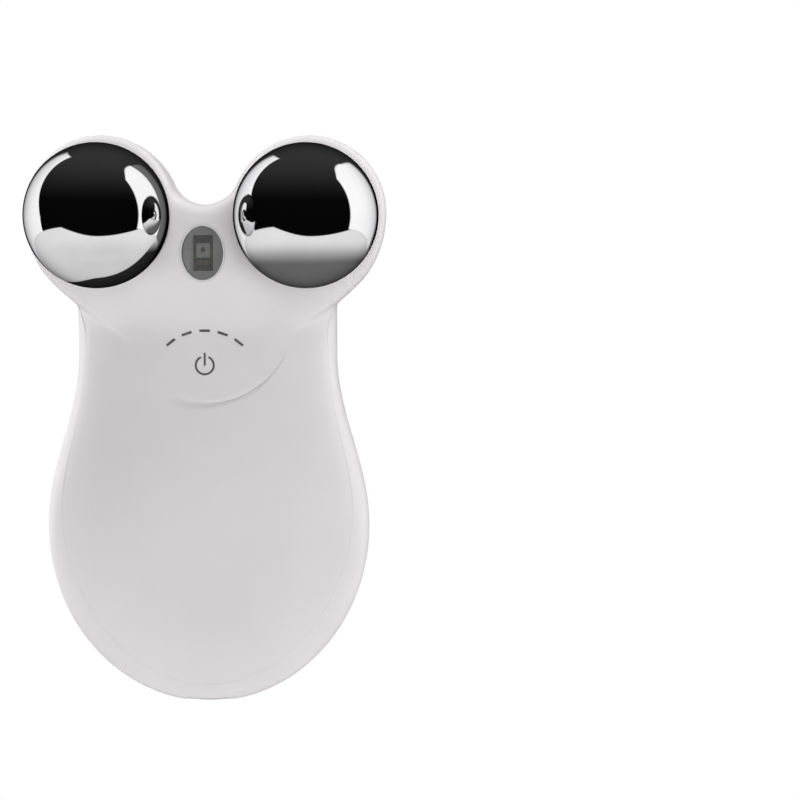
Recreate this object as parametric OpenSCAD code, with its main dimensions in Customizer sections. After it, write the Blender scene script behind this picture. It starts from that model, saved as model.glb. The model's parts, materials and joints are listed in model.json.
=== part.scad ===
// Facial toning device: a palm-sized body with two ball electrodes, an oval light window,
// a power button under a five-step level indicator, and a contact plate on its back.
// Millimetres. X is to the right seen from the front, the front faces -Y, +Z is up.
// The origin is the middle of the palm grip: the body's axis at its widest height.

/* [Body outline] */
// Width of the belly, the widest part of the grip
belly_w = 59.6; // [57:0.1:64]
// Width of the neck
neck_w = 47.7; // [46:0.1:50]
// Height of the neck above the belly
neck_z = 32; // [30:0.5:34]
// Length of the rounded tail below the belly
tail_len = 33; // [32:0.5:38]
// Radius of each ear lobe, seen from the front
ear_r = 14; // [13.7:0.05:14.6]
// Offset of each ear lobe from the middle
ear_x = 19; // [18.6:0.1:19.6]
// Height of the ear lobes' centres above the belly
ear_z = 57.9; // [57:0.1:59]
// Reach of an ear lobe's lower flank below its centre
ear_flank = 17; // [16:0.5:19]
// Softness of the corner between neck and ear
flank_blend = 4; // [2:0.5:6]
// Lowest point of the saddle between the ears
saddle_z = 59.3; // [58.8:0.1:60.5]

/* [Body depth] */
// Depth of the belly in front of the mid-plane
belly_front = 11; // [10.5:0.1:13]
// Depth of the belly behind the mid-plane
belly_back = 13; // [12.5:0.1:15]
// Depth of the neck in front of the mid-plane
neck_front = 9.6; // [9.4:0.1:10.6]
// Depth of the neck and head behind the mid-plane
neck_back = 12; // [11.5:0.1:13]
// Depth of the bridge between the balls
bridge_front = 14.7; // [14.2:0.1:15.4]
// Depth of the ear lobes in front of the mid-plane
ear_front = 11.8; // [11.4:0.1:12.4]
// How far the ear lobes' widest section lies in front of the mid-plane
ear_forward = 4.5; // [3.5:0.1:4.8]
// How far the parting line lies in front of the mid-plane
seam_forward = 5; // [4.9:0.05:5.4]
// Fullness of the belly's rounding
belly_round = 2.4; // [2.3:0.05:2.8]
// Fullness of the head's rounding
head_round = 5; // [4.5:0.1:5.5]
// Fullness of the head's rounding at the back
back_head_round = 3.2; // [2.8:0.1:3.6]
// Depth of the shallow thumb dish in the front of the belly
dish_depth = 0.9; // [0.3:0.1:1.2]
// Wall thickness of both shells
wall = 2; // [1.8:0.05:2.1]
// Hairline between the two shells
seam_gap = 0.1; // [0.05:0.01:0.15]

/* [Ball electrodes] */
// Diameter of each ball
ball_d = 26; // [25.5:0.1:26.4]
// Offset of each ball from the middle
ball_x = 18.7; // [18.5:0.1:19]
// How far the balls' centres lie in front of the mid-plane
ball_forward = 17; // [16.6:0.1:17.4]
// Height of the balls' centres above the belly
ball_z = 57.2; // [57:0.1:57.6]
// Wall of the hollow ball
ball_wall = 1.2; // [0.8:0.1:1.6]
// Clearance between a ball and the shell around it
ball_gap = 0.25; // [0.15:0.05:0.35]
// Wall of the insulating seat behind a ball
seat_wall = 1.5; // [1.2:0.1:1.6]
// Radius of the seat's stem
seat_stem_r = 3.6; // [3.2:0.1:4]
// Radius of the electrode screw
electrode_screw_r = 1.25; // [1:0.05:1.5]

/* [Light window] */
// Width of the oval window
window_w = 8.2; // [7.8:0.1:8.4]
// Height of the oval window
window_h = 10.4; // [10:0.1:10.6]
// Height of the window's centre above the belly
window_z = 50.5; // [50:0.1:50.8]
// Width of the rim around the lens
rim_w = 0.35; // [0.3:0.05:0.6]
// Thickness of the lens
lens_t = 1.2; // [1:0.1:1.4]

/* [Power button] */
// Radius of the button's lower edge and of the crease that continues it
smile_r = 16.2; // [15.8:0.1:16.6]
// Lowest point of the button's lower edge
smile_z = 23; // [22.6:0.1:23.4]
// Centre height of the level indicator's arc
arc_z = 26.3; // [26:0.1:26.6]
// Radius of the button's upper edge
button_r = 9.3; // [9.1:0.05:9.4]
// Clearance around the button
button_gap = 0.12; // [0.08:0.01:0.18]
// Travel of the button
button_travel = 0.4; // [0.25:0.05:0.45]
// Width of the button's retaining flange
flange_w = 0.35; // [0.25:0.05:0.4]
// Thickness of the button's retaining flange
flange_t = 0.7; // [0.5:0.1:0.8]

/* [Power symbol] */
// Height of the symbol's centre above the belly
symbol_z = 30.1; // [29.5:0.1:30.5]
// Middle radius of the symbol's ring
symbol_r = 1.63; // [1.4:0.01:1.8]
// Stroke width of the symbol
symbol_w = 0.42; // [0.3:0.01:0.5]
// Depth of the symbol's inlay
symbol_t = 0.15; // [0.1:0.01:0.25]

/* [Level indicator] */
// Radius of the arc that the level windows lie on
level_r = 10.1; // [10:0.05:10.3]
// Length of a level window
level_l = 1.9; // [1.6:0.1:2.2]
// Width of a level window
level_w = 0.44; // [0.38:0.02:0.56]
// Angle between two level windows
level_step = 18.9; // [18:0.1:20]

/* [Contact plate] */
// Width of the oval contact plate
plate_w = 28; // [26:0.5:30]
// Height of the oval contact plate
plate_h = 39; // [38:0.5:40]
// Height of the plate's centre above the belly
plate_z = -1; // [-2:0.1:0]
// Thickness of the plate
plate_t = 0.7; // [0.5:0.05:0.8]
// Clearance around the plate, seen as a thin groove
plate_gap = 0.2; // [0.1:0.05:0.3]
// Thickness of the plate's adhesive gasket
gasket_t = 0.2; // [0.1:0.05:0.25]

/* [Circuit board] */
// Thickness of the circuit board
board_t = 1; // [0.8:0.1:1.2]
// Width of the circuit board
board_w = 28; // [26:0.5:30]
// How far the board's front face lies in front of the mid-plane
board_forward = 3.6; // [3.4:0.05:3.7]
// Margin of the board above the level indicator's light guide
board_margin = 3.2; // [2.2:0.1:4.2]
// Room between the board's bottom edge and the tip of the tail
board_tail_gap = 5.5; // [5.5:0.1:6.5]
// Height of the tact switch body
switch_h = 2; // [1.8:0.05:2.1]
// Radius of the tact switch plunger
plunger_r = 1.75; // [1.4:0.05:2]

/* [Power supply] */
// Width of the rechargeable cell
cell_w = 30; // [26:0.5:31]
// Height of the rechargeable cell
cell_h = 22; // [18:0.5:22]
// Thickness of the rechargeable cell
cell_t = 6; // [4:0.1:6.2]
// Wall of the cell's tray
tray_t = 1.1; // [0.8:0.1:1.2]
// Width of the charging socket
socket_w = 8.94; // [8.8:0.01:9]
// Height of the charging socket
socket_h = 3.2; // [3:0.02:3.3]
// Length of the charging socket
socket_l = 7.3; // [6.8:0.1:7.5]

/* [Fasteners] */
// Offset of the two case screws above and below the plate's centre
screw_offset = 15.5; // [15.3:0.1:16]
// Radius of a case screw's thread
screw_r = 1; // [0.8:0.05:1.1]
// Radius of a case screw's head
screw_head_r = 1.9; // [1.6:0.1:2]
// Radius of the screw bosses
boss_r = 2.4; // [2.2:0.1:2.5]

/* [Hidden] */
$fn = 48;
belly_hw = belly_w / 2;
neck_hw = neck_w / 2;
// Middle height from which the body's rounded sections are laid out
hub_z = 25;
// Heights between which the body's rounding turns into the head's
head_lead = 4;
head_lag = 6;
head_from = neck_z + head_lead;
head_to = ear_z - head_lag;
// Height at which the ear lobes' flanks run into the waist
flank_end = neck_z + 6;
// The bulge between the balls: where it rises, and the half-widths between which it falls off
bridge_from = neck_z + 2;
bridge_to = window_z - 1;
bridge_in = 5;
bridge_out = 15;
// Heights between which the belly's depth turns into the neck's, in front and behind
front_waist = neck_z - 6;
back_waist_from = 5;
back_waist_to = neck_z - 2;
// The thumb dish's half-width, half-height and middle height
dish_hw = 19;
dish_hh = 23;
dish_z = -1;
saddle_drop = saddle_z - ear_z;
saddle_r = (ear_x * ear_x + saddle_drop * saddle_drop - ear_r * ear_r) / (2 * (ear_r - saddle_drop));
saddle_cz = saddle_z + saddle_r;
// Where the saddle's arc meets the ear circle
saddle_turn = atan2(ear_x, saddle_cz - ear_z);
widest_ear_y = -ear_forward;
seam_y = -seam_forward;
shell_front_y = seam_y - seam_gap / 2;
shell_rear_y = seam_y + seam_gap / 2;
fine = 0.05;

function ramp(a, b, v) = let (u = max(0, min(1, (v - a) / (b - a)))) u * u * (3 - 2 * u);
function mix(a, b, u) = a + (b - a) * u;
function soft_max(a, b, k) = max(a, b) + pow(max(k - abs(a - b), 0), 2) / (4 * k);
function arc_x(r, h) = sqrt(max(0, r * r - h * h));

// Half-width of the body, of an ear lobe, and of the two blended, at height z
function body_hw(z) =
    z < 0 ? belly_hw * arc_x(1, z / tail_len)
    : z < neck_z ? neck_hw + (belly_hw - neck_hw) * (1 + cos(180 * z / neck_z)) / 2
    : neck_hw;
function ear_hw(z) =
    z < ear_z - ear_flank ? 0
    : ear_x + ear_r * arc_x(1, z < ear_z ? (ear_z - z) / ear_flank : (z - ear_z) / ear_r);
function side_hw(z) =
    z < ear_z - ear_flank ? body_hw(z)
    : z < ear_z ? soft_max(body_hw(z), ear_hw(z), flank_blend) : ear_hw(z);

// The right half of the body's outline, from the saddle round to the tail
saddle_arc = [for (i = [0:5]) let (a = saddle_turn * i / 5)
    [saddle_r * sin(a), saddle_cz - saddle_r * cos(a)]];
ear_arc = [for (i = [1:17]) let (a = (90 + saddle_turn) * (1 - i / 17))
    [ear_x + ear_r * cos(a), ear_z + ear_r * sin(a)]];
flank = [for (i = [1:8]) let (z = mix(ear_z, flank_end, i / 8)) [side_hw(z), z]];
waist = [for (i = [1:10]) let (z = mix(flank_end, 0, i / 10)) [side_hw(z), z]];
tail = [for (i = [1:14]) let (a = 90 * i / 14) [belly_hw * cos(a), -tail_len * sin(a)]];
right_half = concat(saddle_arc, ear_arc, flank, waist, tail);
half_n = len(right_half);
outline = concat(right_half, [for (i = [half_n - 2:-1:1]) [-right_half[i][0], right_half[i][1]]]);
turns = len(outline);

// Is a point inside the right half of the outline, and how far does a ray from the hub run
function inside(x, z) =
    z < ear_z ? x < side_hw(z)
    : norm([x - ear_x, z - ear_z]) < ear_r
        || (x < saddle_r * sin(saddle_turn) && z < saddle_cz - arc_x(saddle_r, x));
function reach(a, lo, hi, n) =
    n == 0 ? (lo + hi) / 2
    : let (m = (lo + hi) / 2)
        inside(m * sin(a), hub_z + m * cos(a)) ? reach(a, m, hi, n - 1) : reach(a, lo, m, n - 1);

// Depths of the front and back surfaces along the middle of the body
function dish(x, z) = dish_depth * pow(max(0, 1 - pow(x / dish_hw, 2) - pow((z - dish_z) / dish_hh, 2)), 2);
function front_crown(x, z) =
    mix(belly_front, neck_front, ramp(0, front_waist, z))
    + ramp(bridge_from, bridge_to, z)
        * mix(bridge_front - neck_front, ear_front - neck_front, ramp(bridge_in, bridge_out, abs(x)))
    - dish(x, z);
function back_crown(x, z) = mix(belly_back, neck_back, ramp(back_waist_from, back_waist_to, z));
// The surface's level lines turn from the outline (t = 1) into ellipses round the hub (t = 0)
round_side = 3;
round_top = 5.7;
round_w = neck_hw + round_side;
round_up = saddle_z - hub_z + round_top;
round_down = hub_z + tail_len;
function round_reach(a) = 1 / norm([sin(a) / round_w, cos(a) / (cos(a) > 0 ? round_up : round_down)]);
function spread(t, full, a) = t * mix(round_reach(a), full, pow(t, 4));
function share(r, full, a, lo = 0, hi = 1.2, n = 14) =
    n == 0 ? (lo + hi) / 2
    : let (m = (lo + hi) / 2) spread(m, full, a) < r ? share(r, full, a, m, hi, n - 1)
        : share(r, full, a, lo, m, n - 1);
// Height of the surface at a share t of the way from the hub to the outline
function headness(z) = ramp(head_from, head_to, z);
function widest_y(z) = widest_ear_y * headness(z);
function dome(t, p) = pow(max(0, 1 - pow(t, p)), 1 / p);
function front_round(z) = mix(belly_round, head_round, headness(z));
function back_round(z) = mix(belly_round, back_head_round, headness(z));
function front_at(x, z, t, inset) =
    let (yw = widest_y(z)) yw - (front_crown(x, z) - inset + yw) * dome(t, front_round(z));
function back_at(x, z, t, inset) =
    let (yw = widest_y(z)) yw + (back_crown(x, z) - inset - yw) * dome(t, back_round(z));
// The same surfaces at any point of the front view
function share_at(x, z) =
    let (a = atan2(abs(x), z - hub_z)) share(norm([x, z - hub_z]), reach(a, 0, 80, 16), a);
function front_y(x, z) = front_at(x, z, share_at(x, z), 0);
function back_y(x, z) = back_at(x, z, share_at(x, z), 0);

// The outline moved inwards by the wall
function inward(i, d) =
    let (a = outline[(i + turns - 1) % turns], b = outline[(i + 1) % turns], v = (b - a) / norm(b - a))
        outline[i] + d * [v[1], -v[0]];

// One point of a ring: spoke i at the share t of the way out, on the front or the back
function spoke(i, d) = d == 0 ? outline[i] : inward(i, d);
function along(i, t, d) =
    let (o = spoke(i, d), v = [o[0], o[1] - hub_z], full = norm(v),
        k = spread(t, full, atan2(abs(v[0]), v[1])) / full)
        [v[0] * k, hub_z + v[1] * k];
function on_front(i, t, d) = let (p = along(i, t, d)) [p[0], front_at(p[0], p[1], t, d), p[1]];
function on_back(i, t, d) = let (p = along(i, t, d)) [p[0], back_at(p[0], p[1], t, d), p[1]];
// The share at which the front surface comes down to the level u between widest section and edge
function lip_t(i, u, d, y_edge) =
    let (o = spoke(i, d), yw = widest_y(o[1]))
        dome(u * (yw - y_edge) / (front_crown(o[0], o[1]) - d + yw), front_round(o[1]));
function on_lip(i, u, d, y_edge) =
    let (p = along(i, lip_t(i, u, d, y_edge), d), yw = widest_y(spoke(i, d)[1]))
        [p[0], mix(yw, y_edge, u), p[1]];

// A closed solid through rings of equal length, capped at both ends to a middle point
module lofted(rings, first, last, flip = false) {
    n = len(rings[0]);
    m = len(rings);
    points = concat([first], [for (r = rings) each r], [last]);
    fan_a = [for (i = [0:n - 1]) [0, 1 + i, 1 + (i + 1) % n]];
    strips = [for (k = [0:m - 2], i = [0:n - 1], s = [0, 1])
        let (a = 1 + k * n + i, b = 1 + k * n + (i + 1) % n)
            s == 0 ? [a, a + n, b + n] : [a, b + n, b]];
    fan_b = [for (i = [0:n - 1]) [1 + (m - 1) * n + i, 1 + m * n, 1 + (m - 1) * n + (i + 1) % n]];
    faces = concat(fan_a, strips, fan_b);
    polyhedron(points, flip ? [for (f = faces) [f[2], f[1], f[0]]] : faces, convexity = 8);
}
front_rings = 14;
inner_rings = 8;
module front_skin() {
    outer = [for (k = [1:front_rings]) [for (i = [0:turns - 1])
        let (full = lip_t(i, 1, 0, shell_front_y))
            k == front_rings ? on_lip(i, 1, 0, shell_front_y)
            : on_front(i, full * sin(90 * k / front_rings), 0)]];
    inner = [for (k = [inner_rings:-1:1]) [for (i = [0:turns - 1])
        let (full = lip_t(i, 1, wall, shell_front_y))
            k == inner_rings ? on_lip(i, 1, wall, shell_front_y)
            : on_front(i, full * sin(90 * k / inner_rings), wall)]];
    lofted(concat(outer, inner), on_front(0, 0, 0), on_front(0, 0, wall));
}
module rear_skin() {
    outer = concat(
        [for (k = [1:front_rings]) [for (i = [0:turns - 1]) on_back(i, sin(90 * k / front_rings), 0)]],
        [for (k = [1:4]) [for (i = [0:turns - 1]) on_lip(i, k / 4, 0, shell_rear_y)]]);
    inner = concat(
        [for (k = [3:-1:1]) [for (i = [0:turns - 1]) on_lip(i, k / 3, wall, shell_rear_y)]],
        [for (k = [inner_rings:-1:1]) [for (i = [0:turns - 1])
            on_back(i, sin(90 * k / inner_rings), wall)]]);
    lofted(concat(outer, inner), on_back(0, 0, 0), on_back(0, 0, wall), true);
}

// Shapes drawn in the front view and run along Y, and round rods along Y
module along_y(y0, y1) { translate([0, y1, 0]) rotate([90, 0, 0]) linear_extrude(y1 - y0) children(); }
module rod_y(r, x, z, y0, y1) { translate([x, y0, z]) rotate([-90, 0, 0]) cylinder(r = r, h = y1 - y0); }
// A lead: an eight-sided tube through points that lie in or near a plane of constant x
module pipe(points, r) {
    n = len(points);
    function way(i) = let (v = points[min(i + 1, n - 1)] - points[max(i - 1, 0)]) v / norm(v);
    rings = [for (i = [0:n - 1])
        let (v = way(i), side = cross(v, [1, 0, 0]), s = side / norm(side), u = cross(v, s))
            [for (j = [0:7]) points[i] + r * (cos(45 * j) * s + sin(45 * j) * u)]];
    lofted(rings, points[0], points[n - 1]);
}
module slot_2d(w, h) {
    square([w - h, h], center = true);
    for (s = [-1, 1]) translate([s * (w - h) / 2, 0]) circle(d = h);
}
function oval(w, h, z0, n) =
    [for (i = [0:n - 1]) let (a = 360 * i / n) [w / 2 * sin(a), z0 + h / 2 * cos(a)]];

// A plate between two copies of the front or back surface, inside a closed outline
function cover_ring(edge, mid, s, back, off) = [for (e = edge)
    let (x = e[0] * s, z = mid + (e[1] - mid) * s)
        [x, (back ? back_y(x, z) : front_y(x, z)) + off, z]];
module cover(edge, mid, back, off_out, off_in, rings = 5) {
    function pole(off) = [0, (back ? back_y(0, mid) : front_y(0, mid)) + off, mid];
    lofted(concat([for (k = [1:rings]) cover_ring(edge, mid, k / rings, back, off_out)],
                  [for (k = [rings:-1:1]) cover_ring(edge, mid, k / rings, back, off_in)]),
           pole(off_out), pole(off_in), back);
}

// Power button: the lower edge is the crease's arc, the upper edge an arc under the level windows
smile_cz = smile_z + smile_r;
function edge_level(rl, ru) =
    (smile_cz * smile_cz - arc_z * arc_z - rl * rl + ru * ru) / (2 * (smile_cz - arc_z));
function almond(grow) =
    let (rl = smile_r + grow, ru = button_r + grow,
        zc = edge_level(rl, ru),
        al = acos((smile_cz - zc) / rl), au = acos((zc - arc_z) / ru), n = 16)
        concat([for (i = [0:n - 1]) let (a = mix(-au, au, i / n)) [ru * sin(a), arc_z + ru * cos(a)]],
               [for (i = [0:n - 1]) let (a = mix(al, -al, i / n)) [rl * sin(a), smile_cz - rl * cos(a)]]);
button_mid = (smile_z + arc_z + button_r) / 2;
// Clearance between a shell's inner face and what lies behind it
behind_wall = 0.35;
button_back = front_y(0, button_mid) + wall + behind_wall;
flange_back = button_back + flange_t;
crease_from = acos((smile_cz - edge_level(smile_r, button_r)) / smile_r) + 1;
crease_to = 66;
crease_w = 0.4;
crease_depth = 0.3;

// Circuit board and what stands on it
board_front_y = -board_forward;
board_back_y = board_front_y + board_t;
board_low = board_tail_gap - tail_len;
board_corner = 3;
board_hole_clear = 0.25;
tail_tab_w = 10;
tail_tab_h = 5.5;
seat_clear = 0.1;
switch_w = 6;
switch_front_y = board_front_y - switch_h;
plunger_proud = 0.45;
plunger_front_y = switch_front_y - plunger_proud;
plunger_depth = 0.85;
plunger_clear = 0.08;
stem_r = plunger_r + 0.3;
led_h = 0.8;
guide_turn = 2 * level_step + 8;
guide_w = 1.4;
guide_clear = 0.2;
board_top = arc_z + level_r + guide_w + board_margin;
guide_front_y = wall + behind_wall + front_y((level_r + guide_w) * sin(guide_turn),
                                            arc_z + (level_r + guide_w) * cos(guide_turn));
guide_back_y = board_front_y - led_h - seat_clear;
level_angles = [for (i = [-2:2]) i * level_step];

// Light window
window_edge = oval(window_w, window_h, window_z, 40);
lens_gap = 0.04;
lens_w = window_w - 2 * rim_w;
lens_h = window_h - 2 * rim_w;
window_y = front_y(0, window_z);
lens_sink = 0.1;
package_w = 3.4;
package_h = 6.4;
package_t = 1.6;
package_gap = 0.5;
package_front_y = window_y + lens_sink + lens_t + package_gap;
window_board_y = package_front_y + package_t;
window_board_t = 0.8;
window_board_w = 9.4;
window_board_h = 11;
window_board_d = 12.2;

// Contact plate, its recess and the case screws under it
recess_depth = plate_t + gasket_t;
screw_zs = [plate_z - screw_offset, plate_z + screw_offset];
boss_meet_y = 5;
boss_shoulder = 1.3;
screw_head_t = 1.2;
screw_l = 9;
screw_relief = 1;
head_sink = 0.15;
function head_top(z) =
    min(back_y(0, z - screw_head_r), back_y(0, z + screw_head_r)) - recess_depth - head_sink;
function head_seat(z) = head_top(z) - screw_head_t;
spring_r = 1.1;
spring_x = 5.9;
spring_rise = 14.8;
spring_z = plate_z + spring_rise;
spring_wire = 0.17;
spring_clear = 0.3;
spring_turns = 9;

// Places that several sub-parts share
module at_ball(s) { translate([s * ball_x, -ball_forward, ball_z]) children(); }
switch_z = symbol_z;
symbol_y = front_y(0, symbol_z);
symbol_gap = 0.9;
plunger_back_y = switch_front_y + plunger_depth;
chip_w = 5;
chip_t = 0.9;
chip_z = 26;
coil_r = 3;
coil_h = 2.6;
coil_flange = 0.6;
coil_x = -8;
led_w = 1.6;
function arc_points(r, from, to) =
    [for (i = [0:16]) let (a = mix(from, to, i / 16)) [r * sin(a), r * cos(a)]];
level_clear = 0.02;
level_sink = 0.03;
thread_clear = 0.05;
lead_r = 0.5;
lead_inset = 1.5;
window_lead_x = 2;
board_lead_x = board_w / 2 - 2 * lead_inset;
cell_lead_xs = [-6.7, -4.7];
cell_notch_w = 4;
post_r = 3.2;
post_floor = 3;
seat_room = 1.2;
seat_rim_r = ear_r - wall - seat_room;
seat_rim_y = sqrt(pow(ball_d / 2 + seat_clear + seat_wall, 2) - pow(seat_rim_r, 2));
seat_reach = 1.5;
seat_back = ball_forward + seat_reach;
tag_r = 2.6;
tag_t = 0.4;
tag_w = 2;
tag_l = 4.6;
nut_r = 2.4;
nut_t = 1.2;
screw_tip_gap = 1;
gasket_inset = 0.5;
gasket_ring = 3;
film_gap = 0.04;
cell_z = plate_z;
cell_corner = 1;
tray_corner = 1.5;
cell_back_y = board_back_y + seat_clear + tray_t + cell_t + fine;
foam_w = 18;
foam_h = 14;
foam_back_y = back_y(foam_w / 2, cell_z - foam_h / 2) - wall - 1.5 * behind_wall;
socket_y = board_back_y + socket_h / 2;
socket_sink = 1;
socket_mouth_z = socket_sink - tail_len;
socket_wall = 0.3;
socket_depth = socket_l - 1;
tongue_sink = 1;
tongue_w = 6.7;
tongue_t = 0.7;

module front_boss(z) {
    rod_y(boss_r + boss_shoulder, 0, z, front_y(0, z) + wall / 2, board_front_y);
    rod_y(boss_r, 0, z, board_front_y - fine, boss_meet_y);
}
// The level windows lie along the arc
module level_rib(lead, y1, grow) {
    for (a = level_angles)
        let (y0 = front_y(level_r * sin(a), arc_z + level_r * cos(a)) + lead)
            translate([0, 0, arc_z]) rotate([0, a, 0])
                translate([-level_l / 2 - grow, y0, level_r - level_w / 2 - grow])
                    cube([level_l + 2 * grow, y1 - y0, level_w + 2 * grow]);
}

module front_shell() color("white") difference() {
    union() {
        front_skin();
        for (z = screw_zs) front_boss(z);
    }
    for (s = [-1, 1]) at_ball(s) sphere(r = ball_d / 2 + ball_gap, $fn = 72);
    along_y(window_y - wall, window_board_y) polygon(window_edge);
    along_y(front_y(0, button_mid) - wall, button_back + wall) polygon(almond(0));
    level_rib(-wall, guide_front_y + wall, level_clear);
    for (z = screw_zs)
        rod_y(screw_r + thread_clear, 0, z, head_seat(z) - screw_l - screw_relief, boss_meet_y + fine);
    crease();
}
// The crease that runs on from the button's right corner, cut as a fading V into the front surface
module crease() {
    steps = 14;
    function at(a, e, off) = let (x = (smile_r + e) * sin(a), z = smile_cz - (smile_r + e) * cos(a))
        [x, front_y(x, z) + off, z];
    rings = [for (i = [0:steps])
        let (a = mix(crease_from, crease_to, i / steps), k = 1 - 0.8 * pow(i / steps, 3))
            [at(a, -crease_w * k, -crease_depth * k), at(a, crease_w * k, -crease_depth * k),
             at(a, 0, crease_depth * k)]];
    lofted(rings, (rings[0][0] + rings[0][1] + rings[0][2]) / 3,
        (rings[steps][0] + rings[steps][1] + rings[steps][2]) / 3);
}
module rear_shell() color("white") difference() {
    union() {
        rear_skin();
        for (z = screw_zs)
            rod_y(boss_r + boss_shoulder, 0, z, boss_meet_y + seam_gap, back_y(0, z) - wall / 2);
    }
    cover(oval(plate_w + 2 * plate_gap, plate_h + 2 * plate_gap, plate_z, 48), plate_z,
          true, 2 * wall, -recess_depth, 8);
    for (z = screw_zs) {
        rod_y(screw_r + 2 * thread_clear, 0, z, boss_meet_y - 1, back_y(0, z) + wall);
        rod_y(screw_head_r + seat_clear, 0, z, head_seat(z), back_y(0, z) + wall);
    }
    spring_hole();
    translate([0, socket_y, -tail_len - wall]) linear_extrude(wall + socket_sink + socket_l)
        slot_2d(socket_w + 2 * seat_clear, socket_h + 2 * seat_clear);
}

module spring_hole() {
    rod_y(spring_r + spring_clear, spring_x, spring_z, boss_meet_y, back_y(spring_x, spring_z) + wall);
}

module power_button() color("white") difference() {
    union() {
        intersection() {
            cover(almond(-button_gap), button_mid, false, 0, button_back + fine - front_y(0, button_mid), 5);
            along_y(window_y - wall, button_back) polygon(almond(-button_gap));
        }
        along_y(button_back, flange_back) polygon(almond(flange_w));
        rod_y(stem_r, 0, switch_z, flange_back - fine, plunger_front_y);
    }
    along_y(symbol_y - wall, symbol_y + symbol_t) symbol_2d();
}
module symbol_2d() translate([0, symbol_z]) {
    difference() {
        circle(r = symbol_r + symbol_w / 2);
        circle(r = symbol_r - symbol_w / 2);
        polygon([[0, 0], [-symbol_gap, 2 * symbol_r], [symbol_gap, 2 * symbol_r]]);
    }
    translate([-symbol_w / 2, 0]) square([symbol_w, symbol_r + symbol_w]);
}
module power_symbol() color("dimgray") along_y(symbol_y, symbol_y + symbol_t) symbol_2d();
module switch_body() color("dimgray") difference() {
    translate([-switch_w / 2, switch_front_y, switch_z - switch_w / 2]) cube([switch_w, switch_h, switch_w]);
    rod_y(plunger_r + plunger_clear, 0, switch_z, switch_front_y - 1,
          plunger_back_y + button_travel + seat_clear);
}
module switch_plunger() color("black") rod_y(plunger_r, 0, switch_z, plunger_front_y, plunger_back_y);
module board_2d() {
    low = board_low + tail_tab_h;
    for (s = [-1, 1], z = [low + board_corner, board_top - board_corner])
        translate([s * (board_w / 2 - board_corner), z]) circle(r = board_corner);
    translate([-board_w / 2, low + board_corner]) square([board_w, board_top - low - 2 * board_corner]);
    translate([board_corner - board_w / 2, low]) square([board_w - 2 * board_corner, board_top - low]);
    translate([-tail_tab_w / 2, board_low]) square([tail_tab_w, tail_tab_h + board_corner]);
}
module main_board() color("green") difference() {
    along_y(board_front_y, board_back_y) board_2d();
    for (z = screw_zs) rod_y(boss_r + board_hole_clear, 0, z, board_front_y - 1, board_back_y + 1);
}
module controller_chip() color("black")
    translate([-chip_w / 2, board_back_y, chip_z - chip_w / 2]) cube([chip_w, chip_t, chip_w]);
module step_up_coil() color("sienna") union() {
    rod_y(coil_r, coil_x, chip_z, board_back_y, board_back_y + coil_flange);
    rod_y(coil_r - coil_flange, coil_x, chip_z, board_back_y + fine, board_back_y + coil_h - fine);
    rod_y(coil_r, coil_x, chip_z, board_back_y + coil_h - coil_flange, board_back_y + coil_h);
}
module level_leds() color("lightyellow")
    for (a = level_angles)
        translate([0, 0, arc_z]) rotate([0, a, 0])
            translate([-led_w / 2, board_front_y - led_h, level_r - led_h / 2]) cube([led_w, led_h, led_h]);
module light_guide() color("lightgray") union() {
    translate([0, 0, arc_z]) along_y(guide_front_y, guide_back_y)
        polygon(concat(arc_points(level_r + guide_w, -guide_turn, guide_turn),
                       arc_points(button_r + flange_w + guide_clear, guide_turn, -guide_turn)));
    level_rib(level_sink, guide_front_y + fine, 0);
}

module window_oval(w, h, out, in) cover(oval(w, h, window_z, 40), window_z, false, out, in, 4);
module window_lens() color("gray") window_oval(lens_w - 2 * lens_gap, lens_h - 2 * lens_gap,
    lens_sink, lens_sink + lens_t);
module window_rim() color("white") difference() {
    intersection() {
        window_oval(window_w - 2 * lens_gap, window_h - 2 * lens_gap, fine, 3 * wall);
        along_y(window_y - wall, window_board_y - fine) square(4 * window_z, center = true);
    }
    along_y(window_y - wall, window_board_y + wall) polygon(oval(lens_w, lens_h, window_z, 40));
}
module light_package() color("dimgray") difference() {
    translate([-package_w / 2, package_front_y, window_z - package_h / 2])
        cube([package_w, package_t, package_h]);
    rod_y(package_w / 3, 0, window_z + package_h / 6, package_front_y - 1, package_front_y + package_t / 3);
}
module window_board() color("white")
    along_y(window_board_y, window_board_y + window_board_t)
        translate([0, window_z]) intersection() {
            square([window_board_w, window_board_h], center = true);
            circle(d = window_board_d);
        }
module window_leads() color("red")
    for (s = [-1, 1])
        let (x = s * window_lead_x, y = window_board_y + window_board_t,
             top = window_z - window_board_h / 2 + lead_inset, low = board_top - lead_inset)
            pipe([[x, y, top], [x, y + 3 * lead_r, top], [x, board_front_y - 3 * lead_r, low],
                  [x, board_front_y, low]], lead_r);

module ball_electrode(s) color("silver") at_ball(s) difference() {
    union() {
        difference() {
            sphere(d = ball_d, $fn = 72);
            sphere(d = ball_d - 2 * ball_wall, $fn = 72);
        }
        rod_y(post_r, 0, 0, 0, ball_d / 2 - ball_wall / 2);
    }
    rod_y(electrode_screw_r + thread_clear, 0, 0, post_floor, ball_d);
}
module ball_electrode_left() ball_electrode(-1);
module ball_electrode_right() ball_electrode(1);
module electrode_seat(s) color("lightgray") at_ball(s) difference() {
    union() {
        intersection() {
            sphere(r = ball_d / 2 + seat_clear + seat_wall, $fn = 72);
            rod_y(ball_d, 0, 0, seat_rim_y, ball_d);
        }
        rod_y(seat_stem_r, 0, 0, ball_d / 2 + seat_wall / 2, seat_back);
    }
    sphere(r = ball_d / 2 + seat_clear, $fn = 72);
    rod_y(electrode_screw_r + 2 * thread_clear, 0, 0, 0, ball_d * 2);
}
module electrode_seat_left() electrode_seat(-1);
module electrode_seat_right() electrode_seat(1);
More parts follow.
